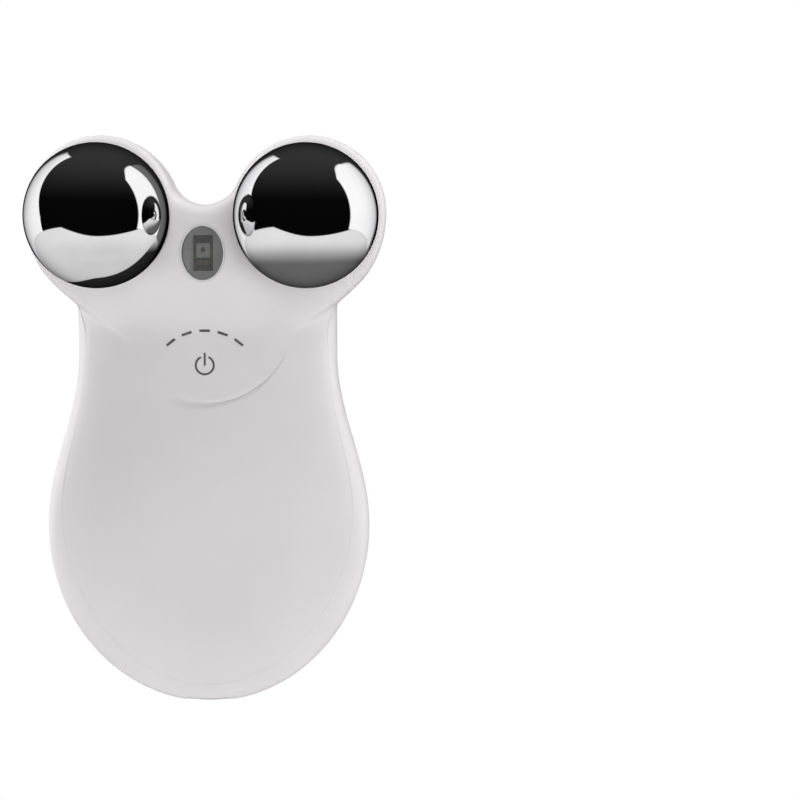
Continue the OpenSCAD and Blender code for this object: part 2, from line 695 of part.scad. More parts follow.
module electrode_tags() color("gold") for (s = [-1, 1]) at_ball(s) difference() {
    union() {
        rod_y(tag_r, 0, 0, seat_back, seat_back + tag_t);
        translate([-tag_w / 2, seat_back, -tag_l]) cube([tag_w, tag_t, tag_l]);
    }
    rod_y(electrode_screw_r + 2 * thread_clear, 0, 0, seat_back - 1, seat_back + 1);
}
module electrode_screws() color("silver") for (s = [-1, 1]) at_ball(s) {
    rod_y(electrode_screw_r, 0, 0, post_floor + screw_tip_gap, seat_back + tag_t + fine);
    rod_y(nut_r, 0, 0, seat_back + tag_t, seat_back + tag_t + nut_t);
}
module electrode_leads() color("blue") for (s = [-1, 1])
    let (y = seat_back - ball_forward + tag_t, x = s * board_lead_x,
         top = ball_z - tag_l + lead_r, low = board_top - 2 * lead_inset)
        pipe([[s * ball_x, y, top], [s * ball_x, y + 3 * lead_r, top],
              [s * (ball_x + board_lead_x) / 2, y, (top + low) / 2],
              [x, board_back_y + 3 * lead_r, low], [x, board_back_y, low]], lead_r);

module contact_plate() color("silver")
    cover(oval(plate_w, plate_h, plate_z, 48), plate_z, true, 0, -plate_t, 8);
module plate_gasket() color("gray") difference() {
    gasket_oval(gasket_inset, 48, -plate_t - film_gap, film_gap - recess_depth, 8);
    gasket_oval(gasket_inset + gasket_ring, 36, wall, -2 * wall, 3);
    spring_hole();
}
module gasket_oval(inset, n, out, in, rings)
    cover(oval(plate_w - 2 * inset, plate_h - 2 * inset, plate_z, n), plate_z, true, out, in, rings);
module contact_spring() color("gold") spring(spring_x, spring_z, board_back_y,
    back_y(spring_x, spring_z) - plate_t - spring_wire - seat_clear);
module spring(x, z, y0, y1) {
    steps = 12;
    n = spring_turns * steps;
    r = spring_r - spring_wire;
    path = [for (i = [0:n]) let (a = 360 * i / steps)
        [x + r * cos(a), mix(y0 + spring_wire, y1, i / n), z + r * sin(a)]];
    lofted([for (i = [0:n]) let (a = 360 * i / steps, c = path[i]) [for (j = [0:5]) let (b = 60 * j)
        c + spring_wire * [cos(a) * cos(b), sin(b), sin(a) * cos(b)]]], path[0], path[n]);
}

module cell() color("silver") rounded_block(cell_w, cell_h, cell_back_y - cell_t, cell_back_y, cell_corner);
module rounded_block(w, h, y0, y1, r) along_y(y0, y1) translate([0, cell_z]) {
    square([w, h - 2 * r], center = true);
    square([w - 2 * r, h], center = true);
    for (i = [-1, 1], j = [-1, 1]) translate([i * (w / 2 - r), j * (h / 2 - r)]) circle(r = r);
}
module cell_tray() color("ivory") difference() {
    rounded_block(cell_w + 2 * tray_t + 2 * seat_clear, cell_h + 2 * tray_t + 2 * seat_clear,
        board_back_y + seat_clear, cell_back_y - cell_t / 3, tray_corner);
    rounded_block(cell_w + 2 * seat_clear, cell_h + 2 * seat_clear,
        cell_back_y - cell_t - fine, cell_back_y, cell_corner);
    translate([(cell_lead_xs[0] + cell_lead_xs[1] - cell_notch_w) / 2,
               cell_back_y - cell_t + tray_t, cell_z]) cube([cell_notch_w, cell_t, cell_h]);
}
module cell_foam() color("dimgray") rounded_block(foam_w, foam_h, cell_back_y + fine, foam_back_y, cell_corner);
module cell_leads() color("red") for (x = cell_lead_xs)
    let (y = cell_back_y - cell_t / 2, z = cell_z + cell_h / 2, up = tray_t + 3 * lead_r)
        pipe([[x, y, z], [x, y, z + up], [x, board_back_y + 3 * lead_r, z + 2 * up],
              [x, board_back_y, z + 2 * up]], lead_r);

module charging_socket() color("silver") translate([0, socket_y, socket_mouth_z]) difference() {
    linear_extrude(socket_l) slot_2d(socket_w, socket_h);
    translate([0, 0, -fine]) linear_extrude(socket_depth + fine)
        slot_2d(socket_w - 2 * socket_wall, socket_h - 2 * socket_wall);
}
module socket_tongue() color("black")
    translate([-tongue_w / 2, socket_y - tongue_t / 2, socket_mouth_z + tongue_sink])
        cube([tongue_w, tongue_t, socket_depth - tongue_sink]);
module case_screws() color("silver") for (z = screw_zs) {
    rod_y(screw_r, 0, z, head_seat(z) - screw_l, head_seat(z) + fine);
    rod_y(screw_head_r, 0, z, head_seat(z), head_top(z));
}

front_shell();
rear_shell();
power_button();
power_symbol();
switch_body();
switch_plunger();
main_board();
controller_chip();
step_up_coil();
level_leds();
light_guide();
window_lens();
window_rim();
light_package();
window_board();
window_leads();
ball_electrode_left();
ball_electrode_right();
electrode_seat_left();
electrode_seat_right();
electrode_screws();
electrode_tags();
electrode_leads();
contact_plate();
plate_gasket();
contact_spring();
cell();
cell_tray();
cell_foam();
cell_leads();
charging_socket();
socket_tongue();
case_screws();
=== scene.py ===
import json
import math

import bmesh
import bpy
import numpy as np
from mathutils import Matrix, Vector
from mathutils.bvhtree import BVHTree

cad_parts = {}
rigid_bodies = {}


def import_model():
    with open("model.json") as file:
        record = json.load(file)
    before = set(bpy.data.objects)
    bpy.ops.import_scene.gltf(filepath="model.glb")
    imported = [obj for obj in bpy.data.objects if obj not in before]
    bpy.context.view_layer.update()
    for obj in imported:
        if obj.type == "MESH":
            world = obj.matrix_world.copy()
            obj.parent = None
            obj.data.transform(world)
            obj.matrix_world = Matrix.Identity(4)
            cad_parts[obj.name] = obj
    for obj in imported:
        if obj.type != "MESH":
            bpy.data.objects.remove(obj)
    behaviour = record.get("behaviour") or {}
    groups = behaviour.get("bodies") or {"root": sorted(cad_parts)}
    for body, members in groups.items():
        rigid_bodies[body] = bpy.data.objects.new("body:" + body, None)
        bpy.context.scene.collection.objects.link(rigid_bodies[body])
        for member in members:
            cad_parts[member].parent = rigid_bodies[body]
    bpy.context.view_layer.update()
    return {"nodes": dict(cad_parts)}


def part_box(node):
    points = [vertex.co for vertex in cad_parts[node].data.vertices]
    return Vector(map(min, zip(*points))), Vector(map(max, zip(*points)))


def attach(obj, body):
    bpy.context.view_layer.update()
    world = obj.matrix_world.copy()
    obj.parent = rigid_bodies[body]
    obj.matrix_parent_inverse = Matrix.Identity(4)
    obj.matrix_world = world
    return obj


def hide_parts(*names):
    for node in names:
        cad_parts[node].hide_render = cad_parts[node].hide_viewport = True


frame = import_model()
nodes = frame["nodes"]
scene = bpy.context.scene
MM = 0.001

# Sizes of the part, in millimetres, as in its source. Only the seam's gap is finer here, and the port is the
# hole round the charging socket.
BELLY_HW, NECK_HW, NECK_Z, TAIL_LEN = 29.8, 23.85, 32, 33
EAR_R, EAR_X, EAR_Z, EAR_FLANK, FLANK_BLEND, SADDLE_Z = 14, 19, 57.9, 17, 4, 59.3
BELLY_FRONT, BELLY_BACK, NECK_FRONT, NECK_BACK = 11, 13, 9.6, 12
BRIDGE_FRONT, EAR_FRONT, EAR_FORWARD, SEAM_Y, SEAM_GAP = 14.7, 11.8, 4.5, -5, 0.04
BELLY_ROUND, HEAD_ROUND, BACK_HEAD_ROUND, DISH_DEPTH, WALL = 2.4, 5, 3.2, 0.9, 2
BALL_R, BALL_X, BALL_Y, BALL_Z, BALL_GAP = 13, 18.7, -17, 57.2, 0.25
WINDOW_W, WINDOW_H, WINDOW_Z, RIM_W, LENS_T = 8.2, 10.4, 50.5, 0.35, 1.2
SMILE_R, SMILE_Z, ARC_Z, BUTTON_R = 16.2, 23, 26.3, 9.3
LEVEL_R, LEVEL_L, LEVEL_W, LEVEL_STEP, LEVEL_CLEAR = 10.1, 1.9, 0.44, 18.9, 0.02
SYMBOL_Z, SYMBOL_R, SYMBOL_W = 30.1, 1.63, 0.42
PLATE_W, PLATE_H, PLATE_Z, PLATE_T, PLATE_GAP, RECESS = 28, 39, -1, 0.7, 0.2, 0.9
PORT_W, PORT_H, PORT_Y = 9.14, 3.4, -1.0
HUB_Z = 25
HEAD_FROM, HEAD_TO, FLANK_END = NECK_Z + 4, EAR_Z - 6, NECK_Z + 6
BRIDGE_FROM, BRIDGE_TO, BRIDGE_IN, BRIDGE_OUT = NECK_Z + 2, WINDOW_Z - 1, 5, 15
FRONT_WAIST, BACK_WAIST_FROM, BACK_WAIST_TO = NECK_Z - 6, 5, NECK_Z - 2
DISH_HW, DISH_HH, DISH_Z = 19, 23, -1
ROUND_W, ROUND_UP, ROUND_DOWN = NECK_HW + 3, SADDLE_Z - HUB_Z + 5.7, HUB_Z + TAIL_LEN
SMILE_CZ = SMILE_Z + SMILE_R
SADDLE_DROP = SADDLE_Z - EAR_Z
SADDLE_R = (EAR_X**2 + SADDLE_DROP**2 - EAR_R**2) / (2 * (EAR_R - SADDLE_DROP))
SADDLE_CZ = SADDLE_Z + SADDLE_R
SADDLE_TURN = math.atan2(EAR_X, SADDLE_CZ - EAR_Z)

# The crease that continues the button's lower edge: its width and depth at the left and at the right, and the
# angles from its lowest point, in degrees, over which it widens, deepens, starts and ends
CREASE_WIDTHS, CREASE_WIDTH_AT = (0.95, 0.4), (-24, 14)
CREASE_DEPTHS, CREASE_DEPTH_AT = (0.3, 0.22), (-10, 20)
CREASE_START, CREASE_END = (-33, -14), (30, 64)
CREASE_ABOVE, CREASE_BELOW = 1.25, 0.9

# How the surfaces are found by halving: steps, and the farthest point and share that are tried
HALVINGS, FARTHEST, LARGEST_SHARE = 26, 80, 1.2


# ---- The body's surfaces, as the part's source lays them out ----
def ramp(a, b, v):
    """Runs softly from 0 to 1 while v runs from a to b."""
    u = np.clip((v - a) / (b - a), 0, 1)
    return u * u * (3 - 2 * u)


def mix(a, b, u):
    return a + (b - a) * u


def arc_x(r, h):
    """Half the width of a circle of radius r at the height h from its middle."""
    return np.sqrt(np.maximum(0, r * r - h * h))


def body_hw(z):
    """Half the body's width, without its ears."""
    waist = NECK_HW + (BELLY_HW - NECK_HW) * (1 + np.cos(np.pi * z / NECK_Z)) / 2
    return np.where(z < 0, BELLY_HW * arc_x(1, z / TAIL_LEN), np.where(z < NECK_Z, waist, NECK_HW))


def ear_hw(z):
    """How far the ears reach out to the side."""
    reach_z = np.where(z < EAR_Z, (EAR_Z - z) / EAR_FLANK, (z - EAR_Z) / EAR_R)
    return np.where(z < EAR_Z - EAR_FLANK, 0, EAR_X + EAR_R * arc_x(1, reach_z))


def side_hw(z):
    """Half the body's width with the ears blended in."""
    a, b, k = body_hw(z), ear_hw(z), FLANK_BLEND
    soft = np.maximum(a, b) + np.maximum(k - np.abs(a - b), 0) ** 2 / (4 * k)
    return np.where(z < EAR_Z - EAR_FLANK, a, np.where(z < EAR_Z, soft, b))


def outline(n_saddle=20, n_ear=56, n_flank=26, n_waist=34, n_tail=44):
    """The body's outline in the front view, from the saddle's middle round by the right side."""
    a = SADDLE_TURN * np.arange(n_saddle + 1) / n_saddle
    saddle = np.stack([SADDLE_R * np.sin(a), SADDLE_CZ - SADDLE_R * np.cos(a)], 1)
    a = (np.pi / 2 + SADDLE_TURN) * (1 - np.arange(1, n_ear + 1) / n_ear)
    ear = np.stack([EAR_X + EAR_R * np.cos(a), EAR_Z + EAR_R * np.sin(a)], 1)
    z = mix(EAR_Z, FLANK_END, np.arange(1, n_flank + 1) / n_flank)
    flank = np.stack([side_hw(z), z], 1)
    z = mix(FLANK_END, 0, np.arange(1, n_waist + 1) / n_waist)
    waist = np.stack([side_hw(z), z], 1)
    a = np.pi / 2 * np.arange(1, n_tail + 1) / n_tail
    tail = np.stack([BELLY_HW * np.cos(a), -TAIL_LEN * np.sin(a)], 1)
    right = np.concatenate([saddle, ear, flank, waist, tail])
    right[0, 0] = right[-1, 0] = 0
    return np.concatenate([right, right[-2:0:-1] * [-1, 1]])


OUTLINE = outline()


def inward(d):
    """The outline, moved inwards by d."""
    if d == 0:
        return OUTLINE
    v = np.roll(OUTLINE, -1, 0) - np.roll(OUTLINE, 1, 0)
    v /= np.linalg.norm(v, axis=1)[:, None]
    return OUTLINE + d * np.stack([v[:, 1], -v[:, 0]], 1)


def inside(x, z):
    """Whether a point on the right side lies within the outline."""
    ear = np.hypot(x - EAR_X, z - EAR_Z) < EAR_R
    saddle = (x < SADDLE_R * math.sin(SADDLE_TURN)) & (z < SADDLE_CZ - arc_x(SADDLE_R, x))
    return np.where(z < EAR_Z, x < side_hw(z), ear | saddle)


def halve(low, high, within):
    """The highest value for which within is true, between low and high."""
    for _ in range(HALVINGS):
        mid = (low + high) / 2
        keep = within(mid)
        low, high = np.where(keep, mid, low), np.where(keep, high, mid)
    return (low + high) / 2


def reach(a):
    """How far the outline lies from the hub at the angle a from straight up."""
    return halve(a * 0, a * 0 + FARTHEST, lambda m: inside(m * np.sin(a), HUB_Z + m * np.cos(a)))


def spread(t, full, a):
    """Distance from the hub at the share t of the way out, on level lines that start as ellipses."""
    up = np.where(np.cos(a) > 0, ROUND_UP, ROUND_DOWN)
    round_reach = 1 / np.hypot(np.sin(a) / ROUND_W, np.cos(a) / up)
    return t * mix(round_reach, full, t**4)


def share_at(x, z):
    """The share of the way from the hub to the outline at which a point lies."""
    a, r = np.arctan2(np.abs(x), z - HUB_Z), np.hypot(x, z - HUB_Z)
    full = reach(a)
    return halve(a * 0, a * 0 + LARGEST_SHARE, lambda m: spread(m, full, a) < r)


def crease(x, z):
    """The soft valley along the button's lower edge: wide and fading at the left, narrow at the right."""
    a = np.degrees(np.arctan2(x, SMILE_CZ - z))
    d = np.hypot(x, z - SMILE_CZ) - SMILE_R
    wide = mix(*CREASE_WIDTHS, ramp(*CREASE_WIDTH_AT, a)) * np.where(d < 0, CREASE_ABOVE, CREASE_BELOW)
    deep = mix(*CREASE_DEPTHS, ramp(*CREASE_DEPTH_AT, a))
    deep = deep * ramp(*CREASE_START, a) * (1 - ramp(*CREASE_END, a))
    return deep * np.exp(-((d / wide) ** 2))


def front_crown(x, z):
    """How far the front stands out where its rim isn't rounded: belly, neck and bridge, less the dish."""
    dish = DISH_DEPTH * np.maximum(0, 1 - (x / DISH_HW) ** 2 - ((z - DISH_Z) / DISH_HH) ** 2) ** 2
    bridge = mix(BRIDGE_FRONT - NECK_FRONT, EAR_FRONT - NECK_FRONT, ramp(BRIDGE_IN, BRIDGE_OUT, np.abs(x)))
    neck = mix(BELLY_FRONT, NECK_FRONT, ramp(0, FRONT_WAIST, z))
    return neck + ramp(BRIDGE_FROM, BRIDGE_TO, z) * bridge - dish


def back_crown(z):
    return mix(BELLY_BACK, NECK_BACK, ramp(BACK_WAIST_FROM, BACK_WAIST_TO, z))


def headness(z):
    """0 on the body and 1 on the head with the ears."""
    return ramp(HEAD_FROM, HEAD_TO, z)


def widest_y(z):
    """Where along Y the body is widest."""
    return -EAR_FORWARD * headness(z)


def dome(t, p):
    """How high a rounded surface stands at the share t of the way out: 1 in the middle, 0 at the edge."""
    return np.maximum(0, 1 - np.clip(t, 0, 1) ** p) ** (1 / p)


def front_round(z):
    return mix(BELLY_ROUND, HEAD_ROUND, headness(z))


def back_round(z):
    return mix(BELLY_ROUND, BACK_HEAD_ROUND, headness(z))


def front_at(x, z, t, inset=0.0):
    yw = widest_y(z)
    return yw - (front_crown(x, z) - inset + yw) * dome(t, front_round(z)) + crease(x, z)


def back_at(x, z, t, inset=0.0):
    yw = widest_y(z)
    return yw + (back_crown(z) - inset - yw) * dome(t, back_round(z))


def front_y(x, z):
    return front_at(x, z, share_at(x, z))


def back_y(x, z):
    return back_at(x, z, share_at(x, z))


def along(o, t):
    """Points at the share t of the way from the hub to the outline points o."""
    v = o - [0, HUB_Z]
    full = np.linalg.norm(v, axis=1)
    k = spread(t, full, np.arctan2(np.abs(v[:, 0]), v[:, 1])) / full
    return v[:, 0] * k, HUB_Z + v[:, 1] * k


def lip_t(o, u, d, y_edge):
    """The share at which the front comes down to the level u between its widest section and its edge."""
    yw = widest_y(o[:, 1])
    return dome(u * (yw - y_edge) / (front_crown(o[:, 0], o[:, 1]) - d + yw), front_round(o[:, 1]))


# ---- Meshes ----
# How near, in metres, a point has to lie to the uncut skin or to a ball cup to be part of it
ON_SKIN, ON_CUP = 4e-6, 3e-5


def new_object(name, points, faces):
    mesh = bpy.data.meshes.new(name)
    mesh.from_pydata((np.asarray(points, float) * MM).tolist(), [], faces)
    mesh.shade_smooth()
    made = bpy.data.objects.new(name, mesh)
    scene.collection.objects.link(made)
    return made


def strips(m, n, start=0):
    """Quads between m closed rings of n points each."""
    k, i = np.meshgrid(np.arange(m - 1), np.arange(n), indexing="ij")
    a, b = start + k * n + i, start + k * n + (i + 1) % n
    return np.stack([a, a + n, b + n, b], -1).reshape(-1, 4).tolist()


def loft(name, rings, first, last):
    """A closed solid through rings of equal length, with a middle point at each end."""
    m, n = len(rings), len(rings[0])
    points = np.concatenate([[first], np.concatenate(rings), [last]])
    i = np.arange(n)
    fan_a = np.stack([i * 0, 1 + i, 1 + (i + 1) % n], 1).tolist()
    end = 1 + (m - 1) * n
    fan_b = np.stack([end + i, i * 0 + 1 + m * n, end + (i + 1) % n], 1).tolist()
    made = new_object(name, points, fan_a + strips(m, n, 1) + fan_b)
    face_out(made)
    return made


def face_out(obj):
    mesh = bmesh.new()
    mesh.from_mesh(obj.data)
    if mesh.calc_volume(signed=True) < 0:
        bmesh.ops.reverse_faces(mesh, faces=mesh.faces)
    mesh.to_mesh(obj.data)
    mesh.free()


def weld(obj):
    """Joins points that coincide and turns all faces outwards."""
    mesh = bmesh.new()
    mesh.from_mesh(obj.data)
    bmesh.ops.remove_doubles(mesh, verts=mesh.verts, dist=1e-7)
    bmesh.ops.recalc_face_normals(mesh, faces=mesh.faces)
    mesh.to_mesh(obj.data)
    mesh.free()


def join(objects):
    with bpy.context.temp_override(active_object=objects[0], selected_editable_objects=objects):
        bpy.ops.object.join()
    return objects[0]


def carve(obj, cutters):
    """Cuts closed solids out of a closed solid."""
    cutter = join(cutters)
    cut = obj.modifiers.new("cut", "BOOLEAN")
    cut.operation, cut.solver, cut.object = "DIFFERENCE", "MANIFOLD", cutter
    result = bpy.data.meshes.new_from_object(obj.evaluated_get(bpy.context.evaluated_depsgraph_get()))
    obj.modifiers.clear()
    obj.data = result
    bpy.data.objects.remove(cutter)


def smooth_like(obj, skin, centres=()):
    """Gives obj the smooth normals of the uncut skin where it still lies on it, and those of the ball
    cups inside them. All other faces stay flat."""
    skin_co = np.array([v.co for v in skin.data.vertices])
    skin_no = np.zeros(len(skin_co) * 3, np.float32)
    skin.data.vertex_normals.foreach_get("vector", skin_no)
    skin_no = skin_no.reshape(-1, 3)
    skin.data.calc_loop_triangles()
    tris = np.array([t.vertices for t in skin.data.loop_triangles])
    tree = BVHTree.FromPolygons(skin_co.tolist(), tris.tolist())
    mesh = obj.data
    co = np.array([v.co for v in mesh.vertices])
    hit, tri, far = np.zeros_like(co), np.zeros(len(co), int), np.zeros(len(co))
    for i, c in enumerate(co):
        place, _, tri[i], far[i] = tree.find_nearest(c)
        hit[i] = place
    a, b, c = (skin_co[tris[tri, k]] for k in range(3))
    v0, v1, v2 = b - a, c - a, hit - a
    d00, d01, d11 = (v0 * v0).sum(1), (v0 * v1).sum(1), (v1 * v1).sum(1)
    d20, d21 = (v2 * v0).sum(1), (v2 * v1).sum(1)
    det = np.where(np.abs(d00 * d11 - d01 * d01) < 1e-24, 1, d00 * d11 - d01 * d01)
    wb, wc = (d11 * d20 - d01 * d21) / det, (d00 * d21 - d01 * d20) / det
    weights = np.stack([1 - wb - wc, wb, wc], 1)[:, :, None]
    normal = (skin_no[tris[tri]] * weights).sum(1)
    normal /= np.linalg.norm(normal, axis=1)[:, None]
    on_skin = far < ON_SKIN
    loops = np.zeros((len(mesh.loops), 3), np.float32)
    for face in mesh.polygons:
        ids, span = list(face.vertices), slice(face.loop_start, face.loop_start + face.loop_total)
        flat = np.array(face.normal)
        loops[span] = flat
        if on_skin[ids].all() and normal[ids].mean(0) @ flat > 0.5:
            loops[span] = normal[ids]
            continue
        for centre in centres:
            out = centre - co[ids]
            size = np.linalg.norm(out, axis=1)
            if np.abs(size - (BALL_R + BALL_GAP) * MM).max() < ON_CUP:
                loops[span] = out / size[:, None]
    mesh.shade_smooth()
    mesh.normals_split_custom_set(loops.tolist())


def oval(w, h, z0, n):
    a = 2 * np.pi * np.arange(n) / n
    return np.stack([w / 2 * np.sin(a), z0 + h / 2 * np.cos(a)], 1)


def almond(grow, n=120, extra=lambda a: 0):
    """The button's outline; extra insets the lower edge further, by its angle in degrees."""
    rl, ru = SMILE_R + grow, BUTTON_R + grow
    zc = (SMILE_CZ**2 - ARC_Z**2 - rl**2 + ru**2) / (2 * (SMILE_CZ - ARC_Z))
    al, au = math.acos((SMILE_CZ - zc) / rl), math.acos((zc - ARC_Z) / ru)
    a = mix(-au, au, np.arange(n) / n)
    top = np.stack([ru * np.sin(a), ARC_Z + ru * np.cos(a)], 1)
    a = mix(al, -al, np.arange(n) / n)
    r = rl - extra(np.degrees(a))
    return np.concatenate([top, np.stack([r * np.sin(a), SMILE_CZ - r * np.cos(a)], 1)])


def prism(name, edge, y0, y1):
    rings = [np.stack([edge[:, 0], edge[:, 0] * 0 + y, edge[:, 1]], 1) for y in (y0, y1)]
    x, z = edge.mean(0)
    return loft(name, rings, [x, y0, z], [x, y1, z])


def cover(name, edge, mid, surface, offsets_out, offsets_in, spacing):
    """A closed plate that follows a surface: rings at the shares spacing of the way from mid to edge, at the
    outer offsets, and back again at the inner ones."""
    def ring(s, off):
        x, z = edge[:, 0] * s, mid + (edge[:, 1] - mid) * s
        return np.stack([x, surface(x, z) + off, z], 1)

    middle = float(surface(np.array([0.0]), np.array([float(mid)]))[0])
    rings = [ring(s, o) for s, o in zip(spacing, offsets_out)]
    rings += [ring(s, offsets_in) for s in (1.0, 0.5)]
    return loft(name, rings, [0, middle + offsets_out[0], mid], [0, middle + offsets_in, mid])


def ribbon(name, path, width, surface, proud, deep, inner=0.8, rounding=0.03):
    """A flat strip that follows the surface along a path of (x, z) points, with rounded ends and edges."""
    way = np.gradient(path, axis=0)
    way /= np.linalg.norm(way, axis=1)[:, None]
    side = np.stack([-way[:, 1], way[:, 0]], 1)
    left, right = path + side * width / 2, path - side * width / 2
    bend = np.radians(np.linspace(90, -90, 9)[1:-1])

    def cap(p, w, s):
        return [p + width / 2 * (np.sin(a) * s + np.cos(a) * w) for a in bend]

    edge = [*left, *cap(path[-1], way[-1], side[-1]), *right[::-1], *cap(path[0], -way[0], -side[0])]
    edge, count = np.array(edge), len(bend)
    middle = [path, np.repeat(path[-1:], count, 0), path[::-1], np.repeat(path[:1], count, 0)]
    middle = np.concatenate(middle)
    profile = ((middle, proud), (mix(middle, edge, inner), proud), (edge, proud + rounding), (edge, deep),
               (middle, deep))
    rings = []
    for points, off in profile:
        y = surface(points[:, 0], points[:, 1]) + off
        rings.append(np.stack([points[:, 0], y, points[:, 1]], 1))
    made = new_object(name, np.concatenate(rings), strips(len(rings), len(edge)))
    weld(made)
    return made


def lathe(name, profile, centre, turns=144):
    """Revolves (radius, y) points, from one end on the axis to the other, round the ball's axis along Y."""
    a = 2 * np.pi * np.arange(turns) / turns
    rings = [np.stack([r * np.cos(a), a * 0 + y, r * np.sin(a)], 1) + centre for r, y in profile[1:-1]]
    ends = [np.array([0, profile[k][1], 0]) + centre for k in (0, -1)]
    return loft(name, rings, *ends)


def block(name, size, centre, bevel):
    """A box with rounded edges."""
    mesh = bmesh.new()
    bmesh.ops.create_cube(mesh, size=1)
    bmesh.ops.scale(mesh, vec=Vector(size) * MM, verts=mesh.verts)
    bmesh.ops.bevel(mesh, geom=mesh.edges[:], offset=bevel * MM, segments=3, profile=0.5, affect="EDGES")
    bmesh.ops.translate(mesh, vec=Vector(centre) * MM, verts=mesh.verts)
    data = bpy.data.meshes.new(name)
    mesh.to_mesh(data)
    mesh.free()
    made = bpy.data.objects.new(name, data)
    scene.collection.objects.link(made)
    sharp_by_angle(made, 40)
    return made


def sharp_by_angle(obj, degrees):
    obj.data.shade_smooth()
    obj.data.set_sharp_from_angle(angle=math.radians(degrees))


# ---- Procedural materials ----
class Nodes:
    def __init__(self, tree):
        self.tree = tree
        tree.nodes.clear()

    def add(self, kind, inputs=(), **settings):
        node = self.tree.nodes.new(kind)
        for key, value in settings.items():
            setattr(node, key, value)
        for key, value in dict(inputs).items():
            if isinstance(value, bpy.types.NodeSocket):
                self.tree.links.new(value, node.inputs[key])
            else:
                node.inputs[key].default_value = value
        return node

    def math(self, operation, *values):
        return self.add("ShaderNodeMath", dict(enumerate(values)), operation=operation).outputs[0]

    def times(self, a, b):
        return self.math("MULTIPLY", a, b)

    def minus(self, a, b):
        return self.math("SUBTRACT", a, b)

    def between(self, value, low, high, out_low=0.0, out_high=1.0):
        """Runs softly from out_low to out_high while value runs from low to high."""
        inputs = {0: value, 1: low, 2: high, 3: out_low, 4: out_high}
        return self.add("ShaderNodeMapRange", inputs, interpolation_type="SMOOTHSTEP").outputs[0]

    def noise(self, where, scale, detail=2.0, roughness=0.5):
        inputs = {"Vector": where, "Scale": scale, "Detail": detail, "Roughness": roughness}
        return self.add("ShaderNodeTexNoise", inputs).outputs["Fac"]

    def blend(self, share, a, b):
        node = self.add("ShaderNodeMix", {0: share}, data_type="RGBA")
        node.inputs[6].default_value, node.inputs[7].default_value = (*a, 1), (*b, 1)
        return node.outputs[2]


def material(name, tone, tone_b, rough, rough_b, scale, grain=0.0, grain_scale=3000.0, pattern=None,
             **sockets):
    """A surface whose colour drifts between two tones or in a pattern, with uneven roughness and, where grain
    says how deep in millimetres, a fine grain."""
    made = bpy.data.materials.new(name)
    made.use_nodes = True
    n = Nodes(made.node_tree)
    where = n.add("ShaderNodeTexCoord").outputs["Object"]
    drift = n.between(n.noise(where, scale, 3), 0.3, 0.7)
    if pattern:
        drift = pattern(n, where, drift)
    smudge = n.between(n.noise(where, scale * 3.7, 4, 0.6), 0.25, 0.75, rough, rough_b)
    inputs = {"Base Color": n.blend(drift, tone, tone_b), "Roughness": smudge}
    if grain:
        height = n.noise(where, grain_scale, 2)
        bump = n.add("ShaderNodeBump", {"Height": height, "Strength": 1.0, "Distance": grain * MM})
        inputs["Normal"] = bump.outputs[0]
    inputs.update({key.replace("_", " "): value for key, value in sockets.items()})
    shader = n.add("ShaderNodeBsdfPrincipled", inputs)
    n.add("ShaderNodeOutputMaterial", {"Surface": shader.outputs[0]})
    return made


def dress(obj, mat):
    obj.data.materials.clear()
    obj.data.materials.append(mat)


def bands(scale):
    def pattern(n, where, drift):
        inputs = {"Vector": where, "Scale": scale, "Distortion": 0.4}
        wave = n.add("ShaderNodeTexWave", inputs, bands_direction="Y")
        return n.times(wave.outputs["Fac"], drift)
    return pattern


def tracks(scale):
    def pattern(n, where, drift):
        inputs = {"Vector": where, "Scale": scale, "Mortar Size": 0.12, "Bias": 0.0, "Brick Width": 1.7,
                  "Row Height": 0.5}
        return n.add("ShaderNodeTexBrick", inputs).outputs["Fac"]
    return pattern


def cells(scale):
    def pattern(n, where, drift):
        return n.add("ShaderNodeTexVoronoi", {"Vector": where, "Scale": scale}).outputs["Distance"]
    return pattern


white_plastic = material("white_plastic", (0.812, 0.792, 0.797), (0.85, 0.829, 0.834), 0.30, 0.37, 35)
button_plastic = material("button_plastic", (0.812, 0.791, 0.796), (0.847, 0.825, 0.83), 0.33, 0.40, 60)
rim_plastic = material("rim_plastic", (0.80, 0.80, 0.80), (0.86, 0.86, 0.86), 0.12, 0.2, 300)
ink_grey = material("ink_grey", (0.095, 0.093, 0.094), (0.13, 0.128, 0.128), 0.5, 0.6, 900, grain=0.003)
# The chrome's dark specular tint darkens its reflection towards each ball's rim: painted shade, standing in
# for the shaded body and gap round the ball, which the chrome does not mirror
chrome = material("chrome", (0.86, 0.86, 0.87), (0.92, 0.92, 0.92), 0.02, 0.05, 120, Metallic=1.0,
                  Specular_Tint=(0.33, 0.33, 0.34, 1))
mirror_plate = material("mirror_plate", (0.87, 0.87, 0.88), (0.92, 0.92, 0.92), 0.03, 0.07, 90, Metallic=1.0)
lens_grey = material("lens_grey", (0.15, 0.15, 0.152), (0.19, 0.19, 0.19), 0.06, 0.1, 260, Alpha=0.24)
smoke_guide = material("smoke_guide", (0.1, 0.1, 0.102), (0.15, 0.15, 0.15), 0.2, 0.3, 700)
dark_resin = material("dark_resin", (0.06, 0.058, 0.056), (0.1, 0.096, 0.092), 0.3, 0.5, 800, grain=0.01)
pale_chip = material("pale_chip", (0.36, 0.35, 0.335), (0.45, 0.44, 0.42), 0.25, 0.45, 1500, grain=0.004)
brown_pad = material("brown_pad", (0.20, 0.14, 0.09), (0.30, 0.22, 0.15), 0.3, 0.5, 1200, Metallic=0.4)
board_green = material("board_green", (0.012, 0.075, 0.03), (0.03, 0.15, 0.06), 0.3, 0.42, 200, grain=0.02,
                       grain_scale=900, pattern=tracks(420))
board_white = material("board_white", (0.70, 0.70, 0.69), (0.80, 0.80, 0.79), 0.35, 0.45, 300, grain=0.01)
chip_black = material("chip_black", (0.018, 0.018, 0.019), (0.035, 0.035, 0.036), 0.5, 0.65, 600, grain=0.01)
